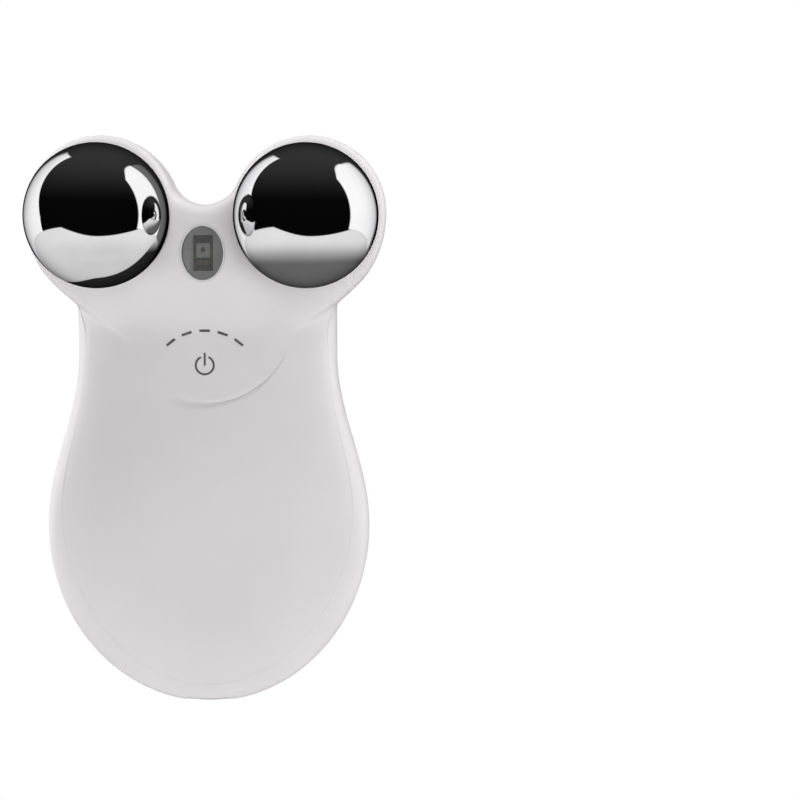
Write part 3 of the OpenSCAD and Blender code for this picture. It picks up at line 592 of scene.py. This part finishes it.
switch_grey = material("switch_grey", (0.06, 0.06, 0.062), (0.1, 0.1, 0.1), 0.4, 0.55, 700, grain=0.01)
copper = material("copper", (0.42, 0.16, 0.07), (0.62, 0.28, 0.14), 0.28, 0.4, 500, pattern=bands(900),
                  Metallic=0.9)
steel = material("steel", (0.48, 0.48, 0.49), (0.6, 0.6, 0.61), 0.25, 0.4, 900, Metallic=1.0)
gold = material("gold", (0.72, 0.5, 0.2), (0.85, 0.64, 0.32), 0.2, 0.33, 700, Metallic=1.0)
ivory = material("ivory", (0.68, 0.66, 0.6), (0.76, 0.74, 0.69), 0.45, 0.6, 200, grain=0.01)
cell_foil = material("cell_foil", (0.5, 0.5, 0.52), (0.62, 0.62, 0.64), 0.3, 0.45, 160, grain=0.05,
                     grain_scale=500, Metallic=0.8)
foam = material("foam", (0.04, 0.04, 0.04), (0.1, 0.1, 0.1), 0.85, 0.95, 900, grain=0.08, grain_scale=1800,
                pattern=cells(2600))
red_lead = material("red_lead", (0.38, 0.02, 0.015), (0.5, 0.04, 0.03), 0.4, 0.5, 600)
blue_lead = material("blue_lead", (0.015, 0.04, 0.3), (0.03, 0.08, 0.42), 0.4, 0.5, 600)
diode_resin = material("diode_resin", (0.75, 0.70, 0.45), (0.85, 0.82, 0.6), 0.15, 0.3, 900)

# ---- Nodes that stay inside and keep their own solids ----
INSIDE = (
    (smoke_guide, ["light_guide"]),
    (board_green, ["main_board"]),
    (board_white, ["window_board"]),
    (chip_black, ["controller_chip"]),
    (switch_grey, ["switch_body"]),
    (dark_resin, ["switch_plunger", "socket_tongue"]),
    (copper, ["step_up_coil"]),
    (steel, ["electrode_screws", "case_screws", "charging_socket"]),
    (gold, ["electrode_tags", "contact_spring"]),
    (ivory, ["electrode_seat_left", "electrode_seat_right", "cell_tray"]),
    (cell_foil, ["cell"]),
    (foam, ["cell_foam", "plate_gasket"]),
    (red_lead, ["window_leads", "cell_leads"]),
    (blue_lead, ["electrode_leads"]),
    (diode_resin, ["level_leds"]),
)
for finish, names in INSIDE:
    for name in names:
        dress(nodes[name], finish)
        sharp_by_angle(nodes[name], 35)


# ---- Front shell ----
def ring_shares(n_near, n_rim, near_end=0.6, crowding=2.6):
    """Shares of the way out at which a shell has its rings: even at first, crowded at the edge."""
    near = np.linspace(0, near_end, n_near)[1:]
    rim = near_end + (1 - near_end) * (1 - (1 - np.linspace(0, 1, n_rim)[1:]) ** crowding)
    return np.concatenate([near, rim])


def front_rings(shares, d, y_edge):
    """Rings of the front shell's surface, moved inwards by d, down to its edge."""
    o = inward(d)
    full = lip_t(o, 1, d, y_edge)
    rings = []
    for s in shares[:-1]:
        x, z = along(o, full * s)
        rings.append(np.stack([x, front_at(x, z, full * s, d), z], 1))
    x, z = along(o, full)
    return rings + [np.stack([x, x * 0 + y_edge, z], 1)]


def back_rings(shares, lips, d, y_edge):
    """Rings of the rear shell's surface, moved inwards by d, and on past its widest section to its edge."""
    o = inward(d)
    rings = []
    for s in shares:
        x, z = along(o, np.full(len(o), s))
        rings.append(np.stack([x, back_at(x, z, s, d), z], 1))
    for u in lips:
        x, z = along(o, lip_t(o, u, d, y_edge))
        rings.append(np.stack([x, mix(widest_y(o[:, 1]), y_edge, u), z], 1))
    return rings


def hub_point(surface, inset):
    x, z, t = np.zeros(1), np.full(1, float(HUB_Z)), np.zeros(1)
    return [0, float(surface(x, z, t, inset)[0]), HUB_Z]


def skin_of(rings, middle):
    """The outer surface alone, facing outwards, for its smooth normals."""
    n = len(rings[0])
    fan = [[0, 1 + i, 1 + (i + 1) % n] for i in range(n)]
    points = np.concatenate([[middle], np.concatenate(rings)])
    made = new_object("skin", points, fan + strips(len(rings), n, 1))
    mesh = bmesh.new()
    mesh.from_mesh(made.data)
    outward = sum(f.calc_area() * f.normal.y for f in mesh.faces)
    if (outward > 0) == (middle[1] < 0):
        bmesh.ops.reverse_faces(mesh, faces=mesh.faces)
    mesh.to_mesh(made.data)
    mesh.free()
    return made


COARSE = np.sin(np.pi / 2 * np.arange(1, 13) / 12)
# From where to where, along Y, the cutters for the window and for the button and levels reach, and over which
# angles the groove past the button's right end runs, in degrees round the crease's middle
WINDOW_CUT, BUTTON_CUT, GROOVE = (-20, -8), (-16, -5.2), (35.5, 66)
front_edge = SEAM_Y - SEAM_GAP / 2
outer = front_rings(ring_shares(105, 90), 0, front_edge)
inner = front_rings(COARSE, WALL, front_edge)
front_middle = hub_point(front_at, 0)
front_skin = skin_of(outer, front_middle)
front = loft("shell_front", outer + inner[::-1], front_middle, hub_point(front_at, WALL))


def ball_centre(side):
    return np.array([side * BALL_X, BALL_Y, BALL_Z])


def sphere_profile(r, n=96):
    a = np.pi * np.arange(n + 1) / n
    return [(float(r * math.sin(t)), float(-r * math.cos(t))) for t in a]


def slot_edge(angle, grow):
    """The outline of a level window, turned by an angle round the indicator's middle."""
    w, h = LEVEL_L / 2 + grow, LEVEL_W / 2 + grow
    a = math.radians(angle)
    turn = np.array([[math.cos(a), -math.sin(a)], [math.sin(a), math.cos(a)]])
    corners = np.array([[-w, LEVEL_R - h], [-w, LEVEL_R + h], [w, LEVEL_R + h], [w, LEVEL_R - h]])
    return corners @ turn + [0, ARC_Z]


def crease_cutter(from_deg, to_deg, widths=(0.2, 0.07), depths=(0.2, 0.06), steps=60):
    """A tapering groove that carries the button's lower edge on; each ring is two points outside the surface
    and two at the groove's bottom."""
    across, down = np.array([-2.2, 2.2, 0.35, -0.35]), np.array([-1.2, -1.2, 1, 1])
    rings = []
    for i in range(steps + 1):
        u = i / steps
        a = math.radians(mix(from_deg, to_deg, u))
        r = SMILE_R + mix(*widths, u**1.5) * across
        x, z = r * math.sin(a), SMILE_CZ - r * math.cos(a)
        y = front_y(x, z) + mix(*depths, u**2) * down
        rings.append(np.stack([x, y, z], 1))
    return loft("crease", rings, rings[0].mean(0), rings[-1].mean(0))


cutters = [lathe("cup", sphere_profile(BALL_R + BALL_GAP), ball_centre(s)) for s in (-1, 1)]
cutters.append(prism("window_hole", oval(WINDOW_W, WINDOW_H, WINDOW_Z, 120), *WINDOW_CUT))
cutters.append(prism("button_hole", almond(0), *BUTTON_CUT))
cutters += [prism("slot", slot_edge(k * LEVEL_STEP, LEVEL_CLEAR), *BUTTON_CUT) for k in range(-2, 3)]
cutters.append(crease_cutter(*GROOVE))
carve(front, cutters)
smooth_like(front, front_skin, [ball_centre(s) * MM for s in (-1, 1)])
bpy.data.objects.remove(front_skin)
dress(front, white_plastic)
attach(front, "housing")
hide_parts("front_shell")

# ---- Rear shell ----
rear_edge = SEAM_Y + SEAM_GAP / 2
RECESS_RINGS, RECESS_TOP = 24, 4
PORT_CUT = (-40, -27.5)
outer = back_rings(ring_shares(60, 80), np.linspace(0, 1, 15)[1:], 0, rear_edge)
inner = back_rings(COARSE, [0.33, 0.66, 1], WALL, rear_edge)
back_middle = hub_point(back_at, 0)
back_skin = skin_of(outer, back_middle)
rear = loft("shell_rear", outer + inner[::-1], back_middle, hub_point(back_at, WALL))
recess_edge = oval(PLATE_W + 2 * PLATE_GAP, PLATE_H + 2 * PLATE_GAP, PLATE_Z, 160)
recess = cover("recess", recess_edge, PLATE_Z, back_y, [-RECESS] * RECESS_RINGS, RECESS_TOP,
               np.arange(1, RECESS_RINGS + 1) / RECESS_RINGS)


def slot_hole(w, h, y0, z0, z1, n=24):
    """A cutter with round ends, along Z."""
    a = np.pi * np.arange(n + 1) / n - np.pi / 2
    right = np.stack([(w - h) / 2 + h / 2 * np.cos(a), y0 + h / 2 * np.sin(a)], 1)
    edge = np.concatenate([right, right[::-1] * [-1, 1]])
    rings = [np.column_stack([edge, np.full(len(edge), z)]) for z in (z0, z1)]
    return loft("port_hole", rings, [0, y0, z0], [0, y0, z1])


carve(rear, [recess, slot_hole(PORT_W, PORT_H, PORT_Y, *PORT_CUT)])
smooth_like(rear, back_skin)
bpy.data.objects.remove(back_skin)
dress(rear, white_plastic)
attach(rear, "housing")
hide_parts("rear_shell")

# ---- Power button and its symbol ----
# The hairline round the button, how much wider it gets at the lower right and over which angles, in degrees,
# and the button's thickness
BUTTON_FIT, BUTTON_LINE, BUTTON_LINE_AT, BUTTON_T = 0.003, 0.06, (-20, 14), 1.6
button_mid = (SMILE_Z + ARC_Z + BUTTON_R) / 2
button_edge = almond(-BUTTON_FIT, extra=lambda a: BUTTON_LINE * ramp(*BUTTON_LINE_AT, a))
shares = np.concatenate([np.linspace(0, 0.97, 52)[1:], [0.982, 0.99, 0.996, 1.0]])
button = cover("press_button", button_edge, button_mid, front_y, np.zeros(len(shares)), BUTTON_T, shares)
dress(button, button_plastic)
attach(button, "button")
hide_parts("power_button")

# The ring's opening to either side of its top, in degrees, where the symbol's face and back lie behind the
# button's surface, and how far the stem starts above the ring's middle and ends above the ring's line
SYMBOL_OPEN, SYMBOL_FACE, SYMBOL_BACK, STEM_FROM, STEM_PAST = 30, -0.02, 0.1, 0.1, 0.5
gap = math.radians(SYMBOL_OPEN)
turn = np.linspace(gap, 2 * np.pi - gap, 90)
path = np.stack([SYMBOL_R * np.sin(turn), SYMBOL_Z + SYMBOL_R * np.cos(turn)], 1)
ring = ribbon("symbol_ring", path, SYMBOL_W, front_y, SYMBOL_FACE, SYMBOL_BACK)
z = np.linspace(SYMBOL_Z + STEM_FROM, SYMBOL_Z + SYMBOL_R + STEM_PAST, 12)
path = np.stack([np.zeros(len(z)), z], 1)
stem = ribbon("symbol_stem", path, SYMBOL_W, front_y, SYMBOL_FACE, SYMBOL_BACK)
symbol = join([ring, stem])
symbol.name = "symbol"
dress(symbol, ink_grey)
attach(symbol, "button")
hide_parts("power_symbol")

# ---- Window lens ----
# How much smaller the lens is than the rim's inside, how far it is sunk, how far its middle bulges out again
# and how far its edge is rounded off
LENS_CLEAR, LENS_SUNK, LENS_BULGE, LENS_EDGE = 0.08, 0.1, 0.22, 0.12
shares = np.concatenate([np.linspace(0, 0.94, 20)[1:], [0.965, 0.985, 1.0]])
lens_w, lens_h = (side - 2 * RIM_W - LENS_CLEAR for side in (WINDOW_W, WINDOW_H))
bulge = LENS_SUNK - LENS_BULGE * (1 - shares**2) + LENS_EDGE * ramp(0.95, 1, shares)
lens = cover("lens", oval(lens_w, lens_h, WINDOW_Z, 120), WINDOW_Z, front_y, bulge, LENS_T, shares)
dress(lens, lens_grey)
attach(lens, "housing")
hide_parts("window_lens")

# ---- Window rim ----
# Its section: how far each point lies inside the window's edge and behind the body's surface
BEZEL = ((0.04, 3.2), (0.04, 0.1), (0.06, 0.02), (0.11, -0.03), (0.18, -0.05), (0.25, -0.03), (0.31, 0.03),
         (0.35, 0.16), (0.35, 3.2))
rings = []
for inset, off in BEZEL:
    edge = oval(WINDOW_W - 2 * inset, WINDOW_H - 2 * inset, WINDOW_Z, 120)
    y = front_y(edge[:, 0], edge[:, 1]) + off
    rings.append(np.stack([edge[:, 0], y, edge[:, 1]], 1))
bezel = new_object("window_bezel", np.concatenate(rings + rings[:1]), strips(len(rings) + 1, 120))
weld(bezel)
sharp_by_angle(bezel, 50)
dress(bezel, rim_plastic)
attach(bezel, "housing")
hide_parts("window_rim")

# ---- Diode package behind the window: a cup with a chip, a bead on it and two pads ----
# Sizes are across, deep and high; IN is from the package's face, UP and OUT are from its middle
CUP_DEPTH, WALL_DEPTH, SIDE_T, END_T = 0.35, 0.4, 0.4, 0.45
CHIP, CHIP_IN, CHIP_UP = (2.45, 0.3, 2.6), 0.28, 0.45
BEAD = ((0, -0.16), (0.3, -0.13), (0.44, -0.06), (0.5, 0.02), (0.5, 0.2), (0, 0.2))
BEAD_IN, BEAD_UP = 0.17, 0.55
PAD, PAD_IN, PAD_UP, PAD_OUT = (0.95, 0.26, 0.9), 0.33, -1.75, 0.62
pack_low, pack_high = (np.array(c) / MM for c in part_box("light_package"))
pack_w, pack_t, pack_h = pack_high - pack_low
pack_x, pack_y, pack_z = (pack_low + pack_high) / 2
face_y = pack_low[1]
wall_y = face_y + WALL_DEPTH / 2
base_size = (pack_w, pack_t - CUP_DEPTH, pack_h)
cup = [block("diode_base", base_size, (pack_x, pack_y + CUP_DEPTH / 2, pack_z), 0.12)]
for s in (-1, 1):
    middle = (pack_x + s * (pack_w - SIDE_T) / 2, wall_y, pack_z)
    cup.append(block("diode_wall", (SIDE_T, WALL_DEPTH, pack_h), middle, 0.1))
for s in (-1, 1):
    middle = (pack_x, wall_y, pack_z + s * (pack_h - END_T) / 2)
    cup.append(block("diode_wall", (pack_w, WALL_DEPTH, END_T), middle, 0.1))
package = join(cup)
package.name = "diode_package"
dress(package, dark_resin)
chip = block("diode_chip", CHIP, (pack_x, face_y + CHIP_IN, pack_z + CHIP_UP), 0.08)
dress(chip, pale_chip)
bead = lathe("diode_bead", BEAD, np.array([pack_x, face_y + BEAD_IN, pack_z + BEAD_UP]), 48)
dress(bead, dark_resin)
pads = []
for s in (-1, 1):
    middle = (pack_x + s * PAD_OUT, face_y + PAD_IN, pack_z + PAD_UP)
    pads.append(block("diode_pad", PAD, middle, 0.06))
pads = join(pads)
pads.name = "diode_pads"
dress(pads, brown_pad)
for piece in (package, chip, bead, pads):
    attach(piece, "housing")
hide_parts("light_package")

# ---- Ball electrodes ----
# At the back of each ball: the screw's bore and where it ends, and the flat land round it with its edge
BORE_R, BORE_END, LAND_R, LAND_EDGE, LAND_RISE = 1.35, 4.0, 3.4, 0.1, 0.02
land_y = math.sqrt(BALL_R**2 - LAND_R**2)
ball_profile = [p for p in sphere_profile(BALL_R, 120) if not (p[1] > 0 and p[0] < LAND_R)]
ball_profile += [(LAND_R, land_y), (LAND_R - LAND_EDGE, land_y + LAND_RISE), (BORE_R, land_y + LAND_RISE)]
ball_profile += [(BORE_R, BORE_END), (0, BORE_END)]
balls = {}
for side, name in ((-1, "left"), (1, "right")):
    ball = lathe("ball_" + name, ball_profile, ball_centre(side), 192)
    balls[name] = ball
    sharp_by_angle(ball, 30)
    dress(ball, chrome)
    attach(ball, "housing")
    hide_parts("ball_electrode_" + name)

# ---- Contact plate ----
# The shares of the way out of its last rings and how far each of these is rounded off
PLATE_EDGE, PLATE_DROPS = (0.98, 0.987, 0.993, 0.997, 1.0), (0.0, 0.006, 0.02, 0.05, 0.13)
even = np.linspace(0, 0.97, 40)[1:]
shares = np.concatenate([even, PLATE_EDGE])
drop = -np.concatenate([even * 0, PLATE_DROPS])
plate = cover("mirror_plate", oval(PLATE_W, PLATE_H, PLATE_Z, 192), PLATE_Z, back_y, drop, -PLATE_T, shares)
dress(plate, mirror_plate)
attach(plate, "housing")
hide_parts("contact_plate")

# ---- Stage: the floor ----
# The camera sees it glow white. Up to NEAR metres from the object a little of its shadow shows, and from FAR
# metres on none; FLOOR_HALF and FLOOR_Z are in millimetres
FLOOR_HALF, FLOOR_Z, NEAR, FAR, NEAR_GLOW = 3000, -80, 0.12, 0.5, 0.94
corners = [[x * FLOOR_HALF, y * FLOOR_HALF, FLOOR_Z] for x, y in ((-1, -1), (1, -1), (1, 1), (-1, 1))]
floor = new_object("floor", corners, [[0, 1, 2, 3]])
floor_mat = bpy.data.materials.new("floor")
floor_mat.use_nodes = True
n = Nodes(floor_mat.node_tree)
paper = n.add("ShaderNodeBsdfDiffuse", {"Color": (0.85, 0.85, 0.85, 1)})
glow = n.add("ShaderNodeEmission", {"Color": (1, 1, 1, 1), "Strength": 1.0})
place = n.add("ShaderNodeTexCoord").outputs["Object"]
away = n.add("ShaderNodeVectorMath", {0: place}, operation="LENGTH").outputs[1]
clear = n.between(away, NEAR, FAR, NEAR_GLOW, 1.0)
seen = n.times(n.add("ShaderNodeLightPath").outputs["Is Camera Ray"], clear)
shade = n.add("ShaderNodeMixShader", {0: seen, 1: paper.outputs[0], 2: glow.outputs[0]})
n.add("ShaderNodeOutputMaterial", {"Surface": shade.outputs[0]})
dress(floor, floor_mat)
floor.visible_glossy = False

# ---- Stage: the studio that the chrome mirrors ----
# By compass turn (0 is the viewer's side, + to the right) and height, in degrees: a dark room, two tall
# softboxes that lean back at the sides, and a pale floor with a curved front edge
FLOOR_TONE, BOX_TONE, FAR_TONE = 0.82, 1.05, 0.17
# How far up a ball's face, from -1 to 1, the mirrored floor starts to darken and is darkest, and its tone
# there: in the room, and beneath the left and the right ball
ROOM_FALL, LEFT_FALL, RIGHT_FALL = (-0.29, -0.57, 0.02), (-0.29, -0.7, 0.64), (-0.34, -0.66, 0.137)
# Right softbox: the turn and height of its arched top's middle, the arch's bend and where the box starts
ARCH_MID, ARCH_TOP, ARCH_BEND, ARCH_START = 105, 58, 0.0202, (75.5, 78.5)
# Left softbox: the turn and height of its gable's middle, its reach and roundness, and where the box starts
GABLE_MID, GABLE_TOP, GABLE_REACH, GABLE_ROUND, GABLE_START = -136, 56, 44, 0.72, -91
# The soft edges of both at the top, at the foot and behind, and where the far part of the right one starts
BOX_TOP, BOX_FOOT, BOX_BACK, FAR_START = (1, -2), (-19, -16), (157, 145), (126, 130)
# The floor's edge: its height, its softness, how far it dips in front, the turn of the dip's middle and its
# reach, how narrow the dip is and how much narrower to its left
EDGE, EDGE_SOFT, DIP, DIP_MID, DIP_REACH, DIP_NARROW, DIP_LEFT = -16.5, (0.6, -1.2), 17, 8, 80, 1.2, 0.3
# Where on a ball's face the room brightens upwards, and between which tones; and the light from all sides
CEILING, ROOM_LIGHT = (0.15, 0.85, 0.002, 0.037), 0.12


def compass(n, way):
    """The turn and height of a direction."""
    turn = n.times(n.math("ARCTAN2", way[0], n.times(way[1], -1)), 180 / math.pi)
    return turn, n.times(n.math("ARCSINE", way[2]), 180 / math.pi)


def climb(n, way):
    """How far up a ball's face, from -1 to 1, the ball mirrors a direction towards the viewer's side."""
    across = n.minus(2, n.times(way[1], 2))
    return n.math("DIVIDE", way[2], n.math("SQRT", n.math("MAXIMUM", across, 0.01)))


def floor_tone(n, way, fall=ROOM_FALL):
    """How bright the mirrored floor is along a direction: it darkens towards the object's foot."""
    start, end, foot = fall
    return n.between(climb(n, way), start, end, FLOOR_TONE, foot)


def box_share(n, turn, height):
    """Where the softboxes are: 1 inside them."""
    arch = n.times(n.math("COSINE", n.times(n.minus(turn, ARCH_MID), ARCH_BEND)), ARCH_TOP)
    right = n.times(n.between(turn, *ARCH_START), n.between(n.minus(height, arch), *BOX_TOP))
    slope = n.math("DIVIDE", n.math("ABSOLUTE", n.minus(turn, GABLE_MID)), GABLE_REACH)
    gable = n.math("POWER", n.math("MAXIMUM", n.minus(1, slope), 0.0001), GABLE_ROUND)
    left = n.between(n.minus(height, n.times(gable, GABLE_TOP)), *BOX_TOP)
    left = n.times(left, n.math("LESS_THAN", turn, GABLE_START))
    share = n.times(n.math("MAXIMUM", right, left), n.between(height, *BOX_FOOT))
    return n.times(share, n.between(n.math("ABSOLUTE", turn), *BOX_BACK))


def far_half(n, turn):
    """1 on the far part of the right softbox, which is bright for the right ball alone."""
    return n.between(turn, *FAR_START)


world = bpy.data.worlds.new("studio")
scene.world = world
world.use_nodes = True
n = Nodes(world.node_tree)
path = n.add("ShaderNodeLightPath").outputs
way = n.add("ShaderNodeSeparateXYZ", {0: n.add("ShaderNodeTexCoord").outputs["Generated"]}).outputs
turn, height = compass(n, way)
from_mid = n.minus(turn, DIP_MID)
narrow = n.math("ADD", n.times(n.math("LESS_THAN", from_mid, 0), DIP_LEFT), DIP_NARROW)
dip = n.math("MAXIMUM", n.math("COSINE", n.times(n.times(from_mid, narrow), math.pi / 180)), 0)
dip = n.times(dip, n.math("LESS_THAN", n.math("ABSOLUTE", from_mid), DIP_REACH))
edge = n.minus(EDGE, n.times(dip, DIP))
floor_glow = n.between(n.minus(height, edge), *EDGE_SOFT)
floor_glow = n.times(floor_glow, floor_tone(n, way))
dimmed = n.minus(BOX_TONE, n.times(far_half(n, turn), BOX_TONE - FAR_TONE))
beside = n.times(box_share(n, turn, height), dimmed)
ceiling = n.between(climb(n, way), *CEILING)
studio = n.math("MAXIMUM", beside, n.math("MAXIMUM", floor_glow, ceiling))
plain = n.add("ShaderNodeBackground", {"Color": (1, 1, 1, 1), "Strength": ROOM_LIGHT})
white = n.add("ShaderNodeBackground", {"Color": (1, 1, 1, 1), "Strength": 1.0})
mirror = n.add("ShaderNodeBackground", {"Color": (1, 1, 1, 1), "Strength": studio})
shown = n.math("MAXIMUM", path["Is Camera Ray"], path["Is Transmission Ray"])
first = n.add("ShaderNodeMixShader", {0: path["Is Glossy Ray"], 1: plain.outputs[0], 2: mirror.outputs[0]})
both = n.add("ShaderNodeMixShader", {0: shown, 1: first.outputs[0], 2: white.outputs[0]})
n.add("ShaderNodeOutputWorld", {"Surface": both.outputs[0]})

# ---- Stage: the lamps that light the body ----
LAMP_AWAY, LAMP_SIZE, AIM_Z = 1.2, 0.8, 0.02


def softbox(name, turn, raised, share):
    """A square soft light at a compass turn and height in degrees, as bright as its share."""
    a, e = math.radians(turn), math.radians(raised)
    place = Vector((math.sin(a) * math.cos(e), -math.cos(a) * math.cos(e), math.sin(e))) * LAMP_AWAY
    data = bpy.data.lights.new(name, "AREA")
    data.shape, data.size, data.energy = "SQUARE", LAMP_SIZE, share * (math.pi * LAMP_AWAY) ** 2
    made = bpy.data.objects.new(name, data)
    scene.collection.objects.link(made)
    made.location = place + Vector((0, 0, AIM_Z))
    made.rotation_euler = place.to_track_quat("Z", "Y").to_euler()
    made.visible_glossy = made.visible_camera = False


softbox("left_low", -105, 8, 0.42)
softbox("left_high", -120, 50, 0.54)
softbox("right_high", 105, 50, 0.48)
softbox("right_low", 90, 8, 0.14)
softbox("front_fill", 15, 12, 0.285)
softbox("top", 0, 82, 0.35)

# ---- Stage: sheets that one piece alone mirrors, in metres ----
SHEET_Z, FLAT, UPRIGHT = -0.079, (180, 0, 0), (-90, 0, 0)
# Beneath the left ball, per metre down: where the dark patch starts behind the ball, how its edge bends back
# to both sides, how much more to the left, and how soft the edge is
PATCH_START, PATCH_BEND, PATCH_LEFT, PATCH_SOFT = 0.42, 0.27, 3.6, (0.03, -0.03)
# Beside the right ball: the sheet's turn, distance and size, and the point of the ball it is seen from
BESIDE_TURN, BESIDE_AWAY, BESIDE_SIZE, BESIDE_EYE = 133, 0.3, (0.6, 0.8), (0.012, -0.005, 0)
# The backdrop behind the object: its place, top and width, how it fades at the sides and darkens upwards, and
# its least tone
BACKDROP_Y, BACKDROP_TOP, BACKDROP_W = 0.08, 0.06, 0.6
BACKDROP_SIDES, BACKDROP_FALL, BACKDROP_LEAST = (0.58, 0.42), (0.18, -0.42, 0.02, 0.93), 0.08


def sheet(name, middle, size, facing, seen_by, origin, strength):
    """A glowing rectangle for one piece, as bright as strength says of the way there from the origin."""
    data = bpy.data.lights.new(name, "AREA")
    data.shape, data.size, data.size_y, data.energy = "RECTANGLE", *size, math.pi * size[0] * size[1]
    data.use_nodes = True
    n = Nodes(data.node_tree)
    spot = n.add("ShaderNodeNewGeometry").outputs["Position"]
    away = n.add("ShaderNodeVectorMath", {0: spot, 1: origin}, operation="SUBTRACT").outputs[0]
    away = n.add("ShaderNodeVectorMath", {0: away}, operation="NORMALIZE").outputs[0]
    shine = strength(n, n.add("ShaderNodeSeparateXYZ", {0: away}).outputs)
    lit = n.add("ShaderNodeEmission", {"Color": (1, 1, 1, 1), "Strength": shine})
    n.add("ShaderNodeOutputLight", {"Surface": lit.outputs[0]})
    made = bpy.data.objects.new(name, data)
    scene.collection.objects.link(made)
    made.location, made.rotation_euler = middle, [math.radians(a) for a in facing]
    made.visible_camera = made.visible_diffuse = made.visible_transmission = False
    made.light_linking.receiver_collection = bpy.data.collections.new(name)
    made.light_linking.receiver_collection.objects.link(seen_by)


def under_left(n, way):
    """The floor is nearly as bright beneath the left ball as farther out, but for a dark patch behind it."""
    down = n.math("MAXIMUM", n.times(way[2], -1), 0.001)
    x, y = n.math("DIVIDE", way[0], down), n.math("DIVIDE", way[1], down)
    bend = n.math("ADD", n.times(n.math("LESS_THAN", x, 0), PATCH_LEFT), PATCH_BEND)
    patch = n.math("ADD", n.times(n.times(x, x), bend), PATCH_START)
    lit = n.between(n.minus(y, patch), *PATCH_SOFT)
    return n.times(lit, n.minus(floor_tone(n, way, LEFT_FALL), floor_tone(n, way)))


def under_right(n, way):
    """Beneath the right ball the floor darkens later and a little less than in the room."""
    return n.minus(floor_tone(n, way, RIGHT_FALL), floor_tone(n, way))


def beside_right(n, way):
    """What the far part of the right softbox lacks in the room to be as bright as its near part."""
    turn, height = compass(n, way)
    return n.times(n.times(box_share(n, turn, height), far_half(n, turn)), BOX_TONE - FAR_TONE)


def behind_plate(n, way):
    """A backdrop that darkens upwards and fades to a dim tone at both sides."""
    fade = n.between(n.math("ABSOLUTE", way[0]), *BACKDROP_SIDES)
    return n.math("MAXIMUM", n.times(n.between(way[2], *BACKDROP_FALL), fade), BACKDROP_LEAST)


left_eye, right_eye = (Vector(ball_centre(s) * MM) for s in (-1, 1))
side_eye = right_eye + Vector(BESIDE_EYE)
a = math.radians(BESIDE_TURN)
beside = side_eye + Vector((math.sin(a), -math.cos(a), 0)) * BESIDE_AWAY
beside.z = SHEET_Z + BESIDE_SIZE[1] / 2
aside = (-90, 0, BESIDE_TURN - 180)
behind = (0, BACKDROP_Y, (SHEET_Z + BACKDROP_TOP) / 2)
sheet("under_left", (-0.03, 0.25, SHEET_Z), (1.66, 1.1), FLAT, balls["left"], left_eye, under_left)
sheet("under_right", (0, 0.25, SHEET_Z), (1.6, 1.1), FLAT, balls["right"], right_eye, under_right)
sheet("beside_right", beside, BESIDE_SIZE, aside, balls["right"], side_eye, beside_right)
sheet("backdrop", behind, (BACKDROP_W, BACKDROP_TOP - SHEET_Z), UPRIGHT, plate, (0, 0, 0), behind_plate)

# ---- Stage: the camera ----
CAMERA_LENS, CAMERA_AT, CAMERA_DOWN = 115.3, (0.0355, -0.475, 0.0503), 3.26
camera = bpy.data.objects.new("camera", bpy.data.cameras.new("camera"))
scene.collection.objects.link(camera)
camera.data.lens = CAMERA_LENS
camera.data.clip_start, camera.data.clip_end = 0.01, 20
camera.location = CAMERA_AT
camera.rotation_euler = (math.radians(90 - CAMERA_DOWN), 0, 0)
scene.camera = camera
scene.view_settings.view_transform = "Standard"

# Of the part, only the balls are seen in the chrome
for piece in scene.objects:
    piece.visible_glossy = piece.visible_glossy and (piece.type != "MESH" or piece in balls.values())
